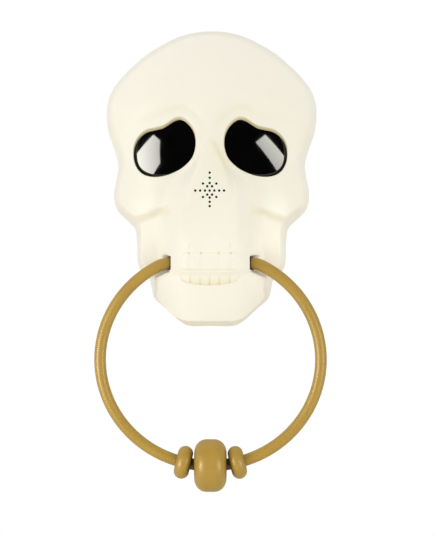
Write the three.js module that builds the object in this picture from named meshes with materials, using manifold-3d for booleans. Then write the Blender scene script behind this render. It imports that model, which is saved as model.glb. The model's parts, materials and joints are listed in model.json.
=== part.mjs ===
import * as THREE from 'three';
import Module from 'manifold-3d';

// Animated skull door knocker, millimetres. +Z is up, the face looks along -Y,
// y = 0 is the flat back that lies on the door, z = 0 is the knocker's hinge height.

// Skull
const SKULL_WIDTH = 151.2;
const CROWN_HEIGHT = 166;
const CHIN_DROP = 46;
const FACE_DEPTH = 65;
const WALL = 2.4;
const SIDE_SLOPE = 6.8;
const JAW_SLOPE = 12;
const GAP = 0.3;

// Knocker
const HINGE_DEPTH = 40;
const BAR_RADIUS = 4.1;
const RING_HALF_WIDTH = 77.4;
const RING_HALF_HEIGHT = 74.3;
const SLOT_X = 30;
const BEAD_RADIUS = 18.5;
const BEAD_LENGTH = 23.4;
const SIDE_BEAD_RADIUS = 11.65;
const SIDE_BEAD_LENGTH = 9.6;
const AXLE_RADIUS = 2.5;

// Eyes
const LENS_SINK = 3.8;
const LENS_DOME = 2.6;
const COLLAR_DEPTH = 6.5;
const FLANGE = 2.6;

// Speaker
const SPEAKER_Z = 49;
const SPEAKER_RADIUS = 18;
const SPEAKER_DEPTH = 46.4;
const CHEEK_COVER = 3.6;
const MUZZLE_COVER = 12.6;
const HOLE_RADIUS = 0.6;

// Drive
const SECTOR_TEETH = 50;
const SECTOR_PINION_TEETH = 10;
const SECTOR_MODULE = 0.6;
const WHEEL_TEETH = 27;
const MOTOR_PINION_TEETH = 9;
const WHEEL_MODULE = 0.83;
const MESH_ANGLE = 60;

// Back
const COVER = 2.4;
const CELL_RADIUS = 7.1;
const CELL_LENGTH = 50.5;
const CELL_PITCH = 15.2;
const BOX_BOTTOM = 58;
const BOX_WALL = 1.6;
const KEYHOLE_DROP = 18.5;
const KEYHOLE_HEAD = 4.75;
const KEYHOLE_SLOT = 2.6;

const DEG = Math.PI / 180;
const wasm = await Module();
wasm.setup();

// Solids

function toSolid(points, tris) {
  const vertProperties = new Float32Array(points.flat());
  const triVerts = new Uint32Array(tris.flat());
  return new wasm.Manifold(new wasm.Mesh({ numProp: 3, vertProperties, triVerts }));
}

function fromGeometry(geometry) {
  const pos = geometry.attributes.position;
  const index = geometry.index;
  const count = index ? index.count : pos.count;
  const seen = new Map();
  const points = [];
  const at = [];
  for (let i = 0; i < count; i += 1) {
    const v = index ? index.getX(i) : i;
    const p = [pos.getX(v), pos.getY(v), pos.getZ(v)];
    const key = p.map((c) => Math.round(c * 1e4)).join(',');
    if (!seen.has(key)) {
      seen.set(key, points.length);
      points.push(p);
    }
    at.push(seen.get(key));
  }
  const tris = [];
  for (let i = 0; i < at.length; i += 3) {
    const [a, b, c] = [at[i], at[i + 1], at[i + 2]];
    if (a !== b && b !== c && c !== a) tris.push([a, b, c]);
  }
  return toSolid(points, tris);
}

function toGeometry(solid) {
  const mesh = solid.getMesh();
  const geometry = new THREE.BufferGeometry();
  const stride = mesh.numProp;
  const count = mesh.vertProperties.length / stride;
  const position = new Float32Array(count * 3);
  for (let i = 0; i < count; i += 1) {
    for (let k = 0; k < 3; k += 1) position[i * 3 + k] = mesh.vertProperties[i * stride + k];
  }
  geometry.setAttribute('position', new THREE.BufferAttribute(position, 3));
  geometry.setIndex(new THREE.BufferAttribute(new Uint32Array(mesh.triVerts), 1));
  const flat = geometry.toNonIndexed();
  flat.computeVertexNormals();
  return flat;
}

const join = (...list) => list.reduce((a, b) => a.add(b));
const cut = (solid, ...list) => list.reduce((a, b) => a.subtract(b), solid);

function polygon(points) {
  return new THREE.Shape(points.map(([a, b]) => new THREE.Vector2(a, b)));
}

// Prism of a 2-D polygon, with its axis along X (polygon in y, z), Y (in z, x) or Z (in x, y).
function prism(axis, points, from, to) {
  const area = THREE.ShapeUtils.area(points.map(([a, b]) => new THREE.Vector2(a, b)));
  const ring = area < 0 ? points.slice().reverse() : points;
  const options = { depth: to - from, bevelEnabled: false, steps: 1 };
  const geometry = new THREE.ExtrudeGeometry(polygon(ring), options);
  geometry.translate(0, 0, from);
  const m = new THREE.Matrix4();
  if (axis === 'x') m.set(0, 0, 1, 0, 1, 0, 0, 0, 0, 1, 0, 0, 0, 0, 0, 1);
  if (axis === 'y') m.set(0, 1, 0, 0, 0, 0, 1, 0, 1, 0, 0, 0, 0, 0, 0, 1);
  geometry.applyMatrix4(m);
  return fromGeometry(geometry);
}

function circle(a, b, radius, sides, start = 0) {
  const list = [];
  for (let i = 0; i < sides; i += 1) {
    const t = start + (i / sides) * 2 * Math.PI;
    list.push([a + radius * Math.cos(t), b + radius * Math.sin(t)]);
  }
  return list;
}

function box(x0, x1, y0, y1, z0, z1) {
  const g = new THREE.BoxGeometry(x1 - x0, y1 - y0, z1 - z0);
  g.translate((x0 + x1) / 2, (y0 + y1) / 2, (z0 + z1) / 2);
  return fromGeometry(g);
}

// Box and round bar given by depth from the door instead of y.
const block = (x0, x1, near, far, z0, z1) => box(x0, x1, -far, -near, z0, z1);
const post = (x, z, radius, near, far, sides = 8) =>
  prism('y', circle(z, x, radius, sides), -far, -near);
const barX = (y, z, radius, x0, x1, sides = 12) => prism('x', circle(y, z, radius, sides), x0, x1);

// Turned body: profile of [radius, height] pairs that starts and ends on the axis.
function turned(profile, sides) {
  const points = [];
  const rows = profile.map(([r, h]) => {
    if (r < 1e-6) {
      points.push([0, 0, h]);
      return [points.length - 1];
    }
    const row = [];
    for (let i = 0; i < sides; i += 1) {
      const t = (i / sides) * 2 * Math.PI;
      points.push([r * Math.cos(t), r * Math.sin(t), h]);
      row.push(points.length - 1);
    }
    return row;
  });
  const tris = [];
  for (let k = 0; k + 1 < rows.length; k += 1) {
    const [lo, hi] = [rows[k], rows[k + 1]];
    for (let i = 0; i < sides; i += 1) {
      const j = (i + 1) % sides;
      if (lo.length === 1 && hi.length === 1) continue;
      if (lo.length === 1) tris.push([lo[0], hi[j], hi[i]]);
      else if (hi.length === 1) tris.push([lo[i], lo[j], hi[0]]);
      else tris.push([lo[i], lo[j], hi[j]], [lo[i], hi[j], hi[i]]);
    }
  }
  return toSolid(points, tris);
}

// Turned body whose axis points out of the back (+Y), its zero at the given depth.
const turnedY = (profile, x, z, depth, sides = 14) =>
  turned(profile, sides).rotate([-90, 0, 0]).translate([x, -depth, z]);

// Curves

function closedSpline(points, count) {
  const curve = new THREE.CatmullRomCurve3(
    points.map(([x, z]) => new THREE.Vector3(x, 0, z)), true, 'catmullrom', 0.5);
  const list = [];
  for (let i = 0; i < count; i += 1) {
    const p = curve.getPoint(i / count);
    list.push([p.x, p.z]);
  }
  return list;
}

// Points moved along their outward normal, for a ring that runs anticlockwise from the front.
function grown(ring, by) {
  const n = ring.length;
  return ring.map(([x, z], i) => {
    const a = ring[(i + n - 1) % n];
    const b = ring[(i + 1) % n];
    const dx = b[0] - a[0];
    const dz = b[1] - a[1];
    const len = Math.hypot(dx, dz);
    return [x + (by * dz) / len, z - (by * dx) / len];
  });
}

function edgeDistance(ring) {
  return (x, z) => {
    let best = Infinity;
    for (let i = 0; i < ring.length; i += 1) {
      const [ax, az] = ring[i];
      const [bx, bz] = ring[(i + 1) % ring.length];
      const ux = bx - ax;
      const uz = bz - az;
      const t = Math.min(1, Math.max(0, ((x - ax) * ux + (z - az) * uz) / (ux * ux + uz * uz)));
      best = Math.min(best, Math.hypot(x - ax - t * ux, z - az - t * uz));
    }
    return best;
  };
}

// Solid between two depth fields over a ring that can be seen from one centre.
// Past each level in thin, every other spoke ends.
function fieldSolid(ring, centre, levels, front, back, sharedRim = false, thin = [],
  backLevels = levels) {
  const n = ring.length;
  const points = [];
  const layer = (field, at) => at.map((s) => {
    const row = [];
    const skip = 2 ** thin.filter((t) => s > t).length;
    const total = s >= 1 ? 1 : n;
    for (let i = 0; i < total; i += skip) {
      const x = ring[i][0] * (1 - s) + centre[0] * s;
      const z = ring[i][1] * (1 - s) + centre[1] * s;
      points.push([x, -field(x, z, s), z]);
      row.push(points.length - 1);
    }
    return row;
  });
  const top = layer(front, levels);
  const bottom = layer(back, backLevels);
  if (sharedRim) bottom[0] = top[0];
  const tris = [];
  const surface = (rows, out) => {
    const face3 = (a, b, c) => tris.push(out ? [a, b, c] : [b, a, c]);
    for (let k = 0; k + 1 < rows.length; k += 1) {
      const [now, next] = [rows[k], rows[k + 1]];
      const last = next.length === 1;
      const half = !last && next.length < now.length;
      for (let i = 0; i < now.length; i += half ? 2 : 1) {
        const a = now[i];
        const b = now[(i + 1) % now.length];
        if (last) {
          face3(a, b, next[0]);
        } else if (half) {
          const c = now[(i + 2) % now.length];
          const d = next[i / 2];
          const e = next[(i / 2 + 1) % next.length];
          face3(a, b, d);
          face3(b, e, d);
          face3(b, c, e);
        } else {
          face3(a, b, next[(i + 1) % now.length]);
          face3(a, next[(i + 1) % now.length], next[i]);
        }
      }
    }
  };
  surface(top, true);
  surface(bottom, false);
  if (!sharedRim) {
    for (let i = 0; i < n; i += 1) {
      const j = (i + 1) % n;
      tris.push([top[0][j], top[0][i], bottom[0][i]], [top[0][j], bottom[0][i], bottom[0][j]]);
    }
  }
  return toSolid(points, tris);
}

// Cutter in front of a depth field, over a strip between two heights.
function stripCutter(xs, low, high, field) {
  const points = [];
  const tris = [];
  xs.forEach((x) => {
    const [z0, z1] = [low(x), high(x)];
    points.push([x, -90, z0], [x, -90, z1], [x, -field(x, z1), z1], [x, -field(x, z0), z0]);
  });
  const last = 4 * (xs.length - 1);
  for (let i = 0; i < last; i += 4) {
    for (let k = 0; k < 4; k += 1) {
      const j = (k + 1) % 4;
      tris.push([i + k, i + 4 + k, i + 4 + j], [i + k, i + 4 + j, i + j]);
    }
  }
  tris.push([0, 1, 2], [0, 2, 3], [last, last + 2, last + 1], [last, last + 3, last + 2]);
  return toSolid(points, tris);
}

// Form of the face

const step = (a, b, v) => {
  const t = Math.min(1, Math.max(0, (v - a) / (b - a)));
  return t * t * (3 - 2 * t);
};
const smin = (a, b, k) => {
  const h = Math.max(k - Math.abs(a - b), 0) / k;
  return Math.min(a, b) - (h * h * k) / 4;
};
const smax = (a, b, k) => -smin(-a, -b, k);
const mix = (a, b, t) => a + (b - a) * t;

const SX = SKULL_WIDTH / 151.2;
const SZ = CROWN_HEIGHT / 166;
const SC = CHIN_DROP / 46;
const SD = FACE_DEPTH / 65;
const zScale = (z) => (z > 0 ? z * SZ : z * SC);
const zDesign = (z) => (z > 0 ? z / SZ : z / SC);

const HALF_OUTLINE = [
  [0, 166], [20.5, 163], [41.3, 152.9], [56, 141.4], [67, 130], [73.7, 118.5], [75.6, 106.5],
  [74.1, 93], [69.8, 80.5], [67.2, 69.5], [68.3, 60], [70.1, 51], [69.8, 43], [67.2, 36.3],
  [60.5, 29.6], [55, 23.6], [53.6, 14], [53.2, 0], [50.5, -7], [44.5, -13], [43, -19],
  [41, -26], [33, -33.5], [23.5, -42], [15.5, -46], [0, -46],
].map(([x, z]) => [x * SX, zScale(z)]);

const EYE = [
  [21, 98.8], [25, 97.7], [29, 95.2], [33, 92.9], [38, 91.8], [43.5, 90.6], [47.8, 88.1],
  [51, 84.5], [53, 79.8], [53.6, 74.5], [52.8, 69.3], [50.5, 64.7], [47, 61.5], [42.5, 59.8],
  [37, 59.4], [31, 60.3], [25.5, 62.2], [20, 65], [15, 69.2], [12, 73.3], [10.4, 78.3],
  [10, 82.6], [10.5, 87], [12, 91.1], [14.4, 94.6], [17.4, 97.4],
].map(([x, z]) => [x * SX, zScale(z)]);
const EYE_CENTRE = [33 * SX, zScale(78)];
const CENTRE = [0, zScale(50)];
const KEYHOLE_Z = CROWN_HEIGHT - KEYHOLE_DROP;

function outline(count) {
  const left = HALF_OUTLINE.slice(1, -1).reverse().map(([x, z]) => [-x, z]);
  return closedSpline([...HALF_OUTLINE, ...left], count).reverse();
}

// Depth of the face from the door plane, before its edge turns back to the door.
function face(xAt, zAt, nose = true, grow = 0) {
  const ax = Math.sqrt((xAt / SX) ** 2 + 1);
  const z = zDesign(zAt);
  const zr = z > 92 ? 80 : 112;
  const q = 1 - (ax / 81) ** 2 - ((z - 92) / zr) ** 2;
  let f = 60 * Math.max(q, 0.004) ** 0.46;

  const shelf = 110 - 0.24 * (ax - 22);
  const brow = Math.exp(-(((z - shelf - 7) / 10) ** 2)) * step(9, 26, ax) * (1 - step(46, 70, ax));
  if (nose) f += 1.5 * brow;
  const socket = (1 - step(-12, 9, z - shelf)) * step(50, 66, z);
  f -= 3 * socket * step(3, 26, ax) * (1 - step(48, 74, ax));

  const bone = (SPEAKER_DEPTH + CHEEK_COVER) / SD - 26 * (Math.max(ax - 25, 0) / 45) ** 2.2;
  const slab = 32 - 5 * (ax / 54) ** 2;
  const side = mix(slab, bone - 7, step(2, 36, z));
  const under = 1 - step(-3.5, 3.5, z - (36.5 - 0.34 * (ax - 32)));
  const cheek = bone - (bone - side) * under;
  f = mix(cheek, f, step(50, 74, z));

  const arch = (SPEAKER_DEPTH + MUZZLE_COVER) / SD - 18 * (ax / 31) ** 4 - 26 * step(30, 62, z);
  f = smax(f, Math.max(arch, 0), 9);

  if (nose) {
    const half = 1.2 + 11.5 * step(100, 44, z);
    const top = 65 - (z > 48 ? 0.0052 : 0.01) * (z - 48) ** 2 - 30 * step(93, 103, z);
    const wall = 4 + 4 * step(90, 55, z);
    const rise = 8.5 * step(101, 84, z) * step(34, 74, z);
    const fall = rise * step(0, 1, (ax - half) / wall) + 1.2 * Math.max(ax - half - wall, 0);
    f = smax(f, Math.max(top - fall, 0), 5);
  }

  const jaw = 57 + Math.exp(-(((z + 33) / 8) ** 2)) - 26 * (ax / 42) ** 2.6;
  f = mix(f, jaw, step(-9, -15, z));

  const gate = step(29 - grow, 33.5 - grow, ax);
  const low = -7 - 0.55 * Math.max(0, ax - 32) - grow;
  const slot = gate * (1 - step(4.5 + grow, 16 + grow, z)) * step(low - 4, low, z);
  f -= slot * Math.max(f - 32, 0);
  return f * SD;
}

function rounding(z) {
  const d = zDesign(z);
  if (d < 0) return mix(3, 6, Math.max(0, (d + 20) / 20));
  if (d < 40) return mix(6, 9, d / 40);
  return mix(9, 16, Math.min(1, (d - 40) / 50));
}

const RIM = outline(72);
const rimDistance = edgeDistance(RIM);
const INNER_RIM = grown(outline(44), -WALL);
const innerDistance = edgeDistance(INNER_RIM);

const slopeAt = (z) => mix(JAW_SLOPE, SIDE_SLOPE, step(-40, -4, zDesign(z)));
const skin = (x, z) => Math.max(0, smin(face(x, z), slopeAt(z) * rimDistance(x, z), rounding(z)));
const inside = (x, z) => {
  const room = 3 + SIDE_SLOPE * innerDistance(x, z);
  const near = circle(x, z, WALL + 0.4, 8).map(([a, b]) => face(a, b, false, 0.4));
  return smin(Math.min(face(x, z, false, 0.4), ...near) - WALL - 0.3, room, rounding(z));
};

const FRONT_LEVELS = [
  0, 0.016, 0.045, 0.09, 0.145, 0.21, 0.28, 0.35, 0.42, 0.49, 0.56, 0.64, 0.73, 0.82, 0.91, 1,
];
const INNER_LEVELS = [0, 0.05, 0.13, 0.23, 0.34, 0.46, 0.58, 0.72, 0.86, 1];

const THIN = [0.6, 0.88];
const outer = fieldSolid(RIM, CENTRE, FRONT_LEVELS, (x, z, s) => (s === 0 ? 0 : skin(x, z)),
  () => 0, true, THIN, [0, 1]);
const hollow = fieldSolid(INNER_RIM, CENTRE, INNER_LEVELS, inside, () => -5, false, THIN, [0, 1]);
const core = fieldSolid(INNER_RIM, CENTRE, INNER_LEVELS, (x, z) => inside(x, z) + WALL / 2, () => 0,
  false, THIN, [0, 1]);

// Eyes: a plane through the socket rim, then lens, reflector and lamp behind it

const eyeRing = closedSpline(EYE, 24).reverse();

function fitPlane() {
  const m = new THREE.Matrix3();
  const rows = eyeRing.map(([x, z]) => [1, x - EYE_CENTRE[0], z - EYE_CENTRE[1], face(x, z, false)]);
  const s = (i, k) => rows.reduce((sum, r) => sum + r[i] * r[k], 0);
  m.set(s(0, 0), s(0, 1), s(0, 2), s(1, 0), s(1, 1), s(1, 2), s(2, 0), s(2, 1), s(2, 2));
  const v = new THREE.Vector3(s(0, 3), s(1, 3), s(2, 3)).applyMatrix3(m.invert());
  return (x, z) => v.x + v.y * (x - EYE_CENTRE[0]) + v.z * (z - EYE_CENTRE[1]);
}
const eyePlane = fitPlane();
const mirror = (solid) => solid.mirror([1, 0, 0]);

const PLAIN = [0, 1];
const ringIn = (by) => grown(eyeRing, -by);
const backRing = grown(closedSpline(EYE, 16).reverse(), FLANGE);
const eyeSlice = (by, near, far) => fieldSolid(ringIn(by), EYE_CENTRE, PLAIN,
  (x, z) => eyePlane(x, z) + far, (x, z) => eyePlane(x, z) + near);

const eyeHole = eyeSlice(0, -40, 60);
const eyeCollar = eyeSlice(-2.4, -COLLAR_DEPTH, 40);
const flangeTop = -COLLAR_DEPTH - GAP;
const lensDome = fieldSolid(ringIn(0.35), EYE_CENTRE, [0, 0.1, 0.3, 0.6, 1],
  (x, z, s) => eyePlane(x, z) - LENS_SINK + LENS_DOME * (1 - (1 - s) ** 2),
  (x, z) => eyePlane(x, z) + flangeTop - 1, false, [0.5], [0, 1]);
const eyeLens = join(lensDome, eyeSlice(-FLANGE, flangeTop - 1.6, flangeTop));

const cupTop = flangeTop - 1.6 - GAP;
const CUP_DEPTH = 9;
const cupField = (s) => -CUP_DEPTH * step(0.12, 0.75, s);
const EAR = [[EYE_CENTRE[0], zScale(102.5)], [EYE_CENTRE[0], zScale(52.4)]];
const earTop = EAR.map(([x, z]) => eyePlane(x, z) + cupTop);
const cupShell = fieldSolid(backRing, EYE_CENTRE, [0, 0.12, 0.75, 1],
  (x, z, s) => eyePlane(x, z) + cupTop + cupField(s),
  (x, z, s) => eyePlane(x, z) + cupTop - 1.6 + cupField(s));
const lampFloor = eyePlane(...EYE_CENTRE) + cupTop - CUP_DEPTH;
const ears = EAR.map(([x, z], i) => {
  const toward = i ? 6.5 : -7.5;
  const z0 = Math.min(z, z + toward);
  const z1 = Math.max(z, z + toward);
  const bar = block(x - 3.4, x + 3.4, earTop[i] - 2, earTop[i], z0, z1);
  return join(post(x, z, 3.4, earTop[i] - 2, earTop[i]), bar);
});
const lensRoom = eyeSlice(-FLANGE - GAP, cupTop, 40);
const eyeCup = cut(join(cupShell, cut(join(...ears), lensRoom)),
  post(EYE_CENTRE[0], EYE_CENTRE[1], 2.8, lampFloor - 20, lampFloor + 8),
  ...EAR.map(([x, z], i) => post(x, z, 1.5, earTop[i] - 5, earTop[i] + 5, 6)));
const lamp = turnedY([
  [0, -8.9], [1.8, -8.2], [2.5, -6.4], [2.5, 0.5], [0, 0.5],
], EYE_CENTRE[0], EYE_CENTRE[1], lampFloor - 3.4, 8);
const lampFoot = turnedY([[0, 0], [3.3, 0], [3.3, 1.2], [0, 1.2]],
  EYE_CENTRE[0], EYE_CENTRE[1], lampFloor - 3.4, 8);
const eyeLamp = join(lamp, lampFoot);

const earBoss = EAR.map(([x, z], i) => post(x, z, 3.2, earTop[i] + GAP, 80));
const earPilot = EAR.map(([x, z], i) => post(x, z, 1.5, earTop[i], earTop[i] + 6.3, 6));

// Screw with a round head at the back and its point towards the face; 0 is under the head.
function screw(x, z, seat, headRadius, headHeight, radius, length, sides = 6) {
  const profile = [
    [0, -length], [radius, -length + radius], [radius, 0], [headRadius, 0],
    [headRadius, headHeight * 0.5], [headRadius * 0.65, headHeight], [0, headHeight],
  ];
  return turnedY(profile, x, z, seat, sides);
}

const earScrews = EAR.map(([x, z], i) => screw(x, z, earTop[i] - 2 - GAP, 2.3, 1.4, 1.1, 7));

// Knocker: one bent bar with straight ends on the hinge axis

const ringCentreZ = -RING_HALF_HEIGHT * Math.sqrt(1 - (SLOT_X / RING_HALF_WIDTH) ** 2);
const ovalAt = (t) => [
  RING_HALF_WIDTH * Math.sin(t), ringCentreZ + RING_HALF_HEIGHT * Math.cos(t)];
const ovalSlope = (t) => [RING_HALF_WIDTH * Math.cos(t), -RING_HALF_HEIGHT * Math.sin(t)];
const JOURNAL_IN = 15.5;
const bendFrom = SLOT_X - 4.5;
const bendAngle = Math.asin((SLOT_X + 1.5) / RING_HALF_WIDTH);

function knockerPath(steps) {
  const half = [[JOURNAL_IN, 0]];
  const [ex, ez] = ovalAt(bendAngle);
  const [tx, tz] = ovalSlope(bendAngle);
  const len = Math.hypot(tx, tz);
  const reach = 2.2;
  const p = [[bendFrom, 0], [bendFrom + reach, 0],
    [ex - (reach * tx) / len, ez - (reach * tz) / len], [ex, ez]];
  for (let i = 0; i <= 4; i += 1) {
    const t = i / 4;
    const w = [(1 - t) ** 3, 3 * t * (1 - t) ** 2, 3 * t * t * (1 - t), t ** 3];
    half.push([0, 1].map((k) => w.reduce((sum, wi, j) => sum + wi * p[j][k], 0)));
  }
  for (let i = 1; i <= steps; i += 1) {
    half.push(ovalAt(bendAngle + (i / steps) * (Math.PI - bendAngle)));
  }
  const other = half.slice(0, -1).reverse().map(([x, z]) => [-x, z]);
  return [...half, ...other];
}

// Round bar swept along a path in the plane of the ring.
function sweptBar(path, radius, sides) {
  const points = [];
  const tris = [];
  const rows = path.map(([x, z], i) => {
    const a = path[Math.max(0, i - 1)];
    const b = path[Math.min(path.length - 1, i + 1)];
    const len = Math.hypot(b[0] - a[0], b[1] - a[1]);
    const nx = -(b[1] - a[1]) / len;
    const nz = (b[0] - a[0]) / len;
    const row = [];
    for (let k = 0; k < sides; k += 1) {
      const t = (k / sides) * 2 * Math.PI;
      const u = radius * Math.cos(t);
      points.push([x + nx * u, -HINGE_DEPTH + radius * Math.sin(t), z + nz * u]);
      row.push(points.length - 1);
    }
    return row;
  });
  for (let i = 0; i + 1 < rows.length; i += 1) {
    for (let k = 0; k < sides; k += 1) {
      const j = (k + 1) % sides;
      const [a, b, c, d] = [rows[i][k], rows[i][j], rows[i + 1][j], rows[i + 1][k]];
      tris.push([a, c, b], [a, d, c]);
    }
  }
  const last = rows[rows.length - 1];
  for (let k = 1; k + 1 < sides; k += 1) {
    tris.push([rows[0][0], rows[0][k], rows[0][k + 1]]);
    tris.push([last[0], last[k + 1], last[k]]);
  }
  const made = toSolid(points, tris);
  return made;
}

const barPath = knockerPath(16);
const bar = sweptBar(barPath, BAR_RADIUS, 10);
const AXLE_END = JOURNAL_IN + 9;
const knockerRing = cut(bar,
  barX(-HINGE_DEPTH, 0, AXLE_RADIUS + GAP, JOURNAL_IN - 2, AXLE_END + 0.8),
  barX(-HINGE_DEPTH, 0, AXLE_RADIUS + GAP, -AXLE_END - 0.8, -JOURNAL_IN + 2));
const knockerAxle = barX(-HINGE_DEPTH, 0, AXLE_RADIUS, -AXLE_END, AXLE_END, 16);

const lowBar = sweptBar(barPath.filter(([, z]) => z < ringCentreZ - RING_HALF_HEIGHT * 0.55),
  BAR_RADIUS + GAP, 10);
const beadZ = ringCentreZ - RING_HALF_HEIGHT;
const half = BEAD_LENGTH / 2;
const beadProfile = [
  [0, -half], [BEAD_RADIUS * 0.46, -half], [BEAD_RADIUS * 0.72, -half * 0.93],
  [BEAD_RADIUS * 0.89, -half * 0.76], [BEAD_RADIUS * 0.98, -half * 0.5],
  [BEAD_RADIUS, -half * 0.25], [BEAD_RADIUS, half * 0.25], [BEAD_RADIUS * 0.98, half * 0.5],
  [BEAD_RADIUS * 0.89, half * 0.76], [BEAD_RADIUS * 0.72, half * 0.93],
  [BEAD_RADIUS * 0.46, half], [0, half],
];
const knockerBead = cut(
  turned(beadProfile, 16).rotate([0, 90, 0]).translate([0, -HINGE_DEPTH, beadZ]), lowBar);
const sh = SIDE_BEAD_LENGTH / 2;
const sideProfile = [
  [0, -sh], [SIDE_BEAD_RADIUS * 0.56, -sh], [SIDE_BEAD_RADIUS * 0.8, -sh * 0.85],
  [SIDE_BEAD_RADIUS * 0.95, -sh * 0.5], [SIDE_BEAD_RADIUS, 0], [SIDE_BEAD_RADIUS * 0.95, sh * 0.5],
  [SIDE_BEAD_RADIUS * 0.8, sh * 0.85], [SIDE_BEAD_RADIUS * 0.56, sh], [0, sh],
];
const sideTurn = Math.asin((half + sh + 2.4) / RING_HALF_WIDTH);
const [sideX, sideZ] = ovalAt(Math.PI - sideTurn);
const [slopeX, slopeZ] = ovalSlope(Math.PI - sideTurn);
const lean = Math.atan2(-slopeZ, -slopeX) / DEG;
const sideBead = cut(turned(sideProfile, 12).rotate([0, 90 - lean, 0])
  .translate([sideX, -HINGE_DEPTH, sideZ]), lowBar);

// Drive: motor pinion, two-step wheel, toothed sector on the knocker's axle

function teeth(count, module, addendum, dedendum, phase, from, to) {
  const pitch = (count * module) / 2;
  const base = pitch * Math.cos(20 * DEG);
  const involute = (r) => {
    const a = Math.acos(Math.min(1, base / r));
    return Math.tan(a) - a;
  };
  const root = pitch - dedendum * module;
  const tip = pitch + addendum * module;
  const low = Math.max(base, root);
  const halfAt = (r) => Math.PI / (2 * count) + involute(pitch) - involute(r) - 0.06 / pitch;
  const list = [];
  for (let i = from; i < to; i += 1) {
    const mid = phase + (i / count) * 2 * Math.PI;
    const flank = [[root, halfAt(low) * 1.04], [tip, halfAt(tip)]];
    flank.forEach(([r, a]) => list.push([r * Math.cos(mid - a), r * Math.sin(mid - a)]));
    flank.reverse().forEach(([r, a]) => list.push([r * Math.cos(mid + a), r * Math.sin(mid + a)]));
  }
  return list;
}

const moved = (points, dy, dz) => points.map(([a, b]) => [a + dy, b + dz]);
const meshDistance = ((SECTOR_TEETH + SECTOR_PINION_TEETH) * SECTOR_MODULE) / 2 + 0.05;
const motorDistance = ((WHEEL_TEETH + MOTOR_PINION_TEETH) * WHEEL_MODULE) / 2 + 0.05;
const meshTurn = (90 - MESH_ANGLE) * DEG;
const pinY = -HINGE_DEPTH + meshDistance * Math.cos(meshTurn);
const pinZ = meshDistance * Math.sin(meshTurn);
const motorY = pinY;
const motorZ = pinZ + motorDistance;

const sectorPitch = 360 / SECTOR_TEETH;
const sectorFrom = -Math.round(20 / sectorPitch);
const sectorTo = Math.round(74 / sectorPitch);
const sectorShape = [[0, 0], ...teeth(SECTOR_TEETH, SECTOR_MODULE, 0.6, 1.15, meshTurn,
  sectorFrom, sectorTo)];
const sectorGear = cut(
  join(prism('x', moved(sectorShape, -HINGE_DEPTH, 0), 4, 8),
    barX(-HINGE_DEPTH, 0, 5.6, 3.4, 8.6)),
  barX(-HINGE_DEPTH, 0, AXLE_RADIUS + GAP, 0, 12));

const smallTeeth = teeth(SECTOR_PINION_TEETH, SECTOR_MODULE, 0.75, 1.1,
  meshTurn + Math.PI + Math.PI / SECTOR_PINION_TEETH, 0, SECTOR_PINION_TEETH);
const wheelTeeth = teeth(WHEEL_TEETH, WHEEL_MODULE, 0.55, 1.15, Math.PI / 2, 0, WHEEL_TEETH);
const PIN_RADIUS = 1;
const reductionGear = cut(
  join(prism('x', moved(smallTeeth, pinY, pinZ), 3.5, 9.6),
    prism('x', moved(wheelTeeth, pinY, pinZ), 9.5, 12.5)),
  barX(pinY, pinZ, PIN_RADIUS + GAP, 0, 16, 12));
const reductionPin = barX(pinY, pinZ, PIN_RADIUS, 0.2, 14, 12);

const motorTeeth = teeth(MOTOR_PINION_TEETH, WHEEL_MODULE, 0.75, 1.1,
  -Math.PI / 2 + Math.PI / MOTOR_PINION_TEETH, 0, MOTOR_PINION_TEETH);
const motorPinion = join(prism('x', moved(motorTeeth, motorY, motorZ), 8.9, 13.1),
  barX(motorY, motorZ, 1, -4, 9, 12));

const MOTOR_H = 20.1;
const MOTOR_W = 15.1;
const motorEnd = 0.5;
const motorSection = [];
[[1, 1], [-1, 1], [-1, -1], [1, -1]].forEach(([sy, sz]) => {
  const y = (sy * MOTOR_W) / 2;
  const z = (sz * MOTOR_H) / 2;
  const corner = [[y, z - sz * 3.4], [y - sy * 1.2, z - sz * 1.2], [y - sy * 3.4, z]];
  motorSection.push(...(sy * sz > 0 ? corner : corner.reverse()));
});
const motorCan = cut(
  join(prism('x', moved(motorSection, motorY, motorZ), motorEnd - 20, motorEnd),
    barX(motorY, motorZ, 3, motorEnd - 1, motorEnd + 1.4)),
  barX(motorY, motorZ, 1 + GAP, motorEnd - 6, motorEnd + 3, 12));
const motorCap = join(
  prism('x', moved(motorSection.map(([a, b]) => [a * 0.96, b * 0.96]), motorY, motorZ),
    motorEnd - 24.4, motorEnd - 20 - GAP),
  barX(motorY, motorZ, 2.4, motorEnd - 26, motorEnd - 24, 14));

const plateX = [0.8, 3];
const motorTop = motorZ + MOTOR_H / 2 + GAP;
const motorFoot = motorZ - MOTOR_H / 2 - GAP;
const TAB_AHEAD = 10.8;
const TAB_BEHIND = 8;
const TAB_HIGH = [12, pinZ + 18.5, -motorY + TAB_AHEAD];
const TAB_LOW = [9, -21, HINGE_DEPTH - TAB_BEHIND];
const plate = prism('x', [
  [-TAB_HIGH[2] + 1, TAB_HIGH[1] + 4], [-TAB_HIGH[2] + 1, TAB_HIGH[1] - 5], [pinY - 5, pinZ - 4],
  [-TAB_LOW[2] + 1, TAB_LOW[1] + 6], [-TAB_LOW[2] + 1, TAB_LOW[1] - 4], [pinY + 4, TAB_LOW[1] - 4],
  [pinY + 5, pinZ - 4], [motorY + 8, motorFoot - 1.6], [motorY + 8, motorTop + 1.6],
  [-TAB_HIGH[2] + 1, motorTop + 1.6],
], plateX[0], plateX[1]);
const arms = [
  box(-17, plateX[0] + 0.5, motorY - 6, motorY + 6, motorTop, motorTop + 1.6),
  box(-17, plateX[0] + 0.5, motorY - 6, motorY + 6, motorFoot - 1.6, motorFoot),
];
const highTab = block(plateX[0], TAB_HIGH[0] + 4, TAB_HIGH[2] - 2, TAB_HIGH[2],
  TAB_HIGH[1] - 4, TAB_HIGH[1] + 4);
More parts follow.
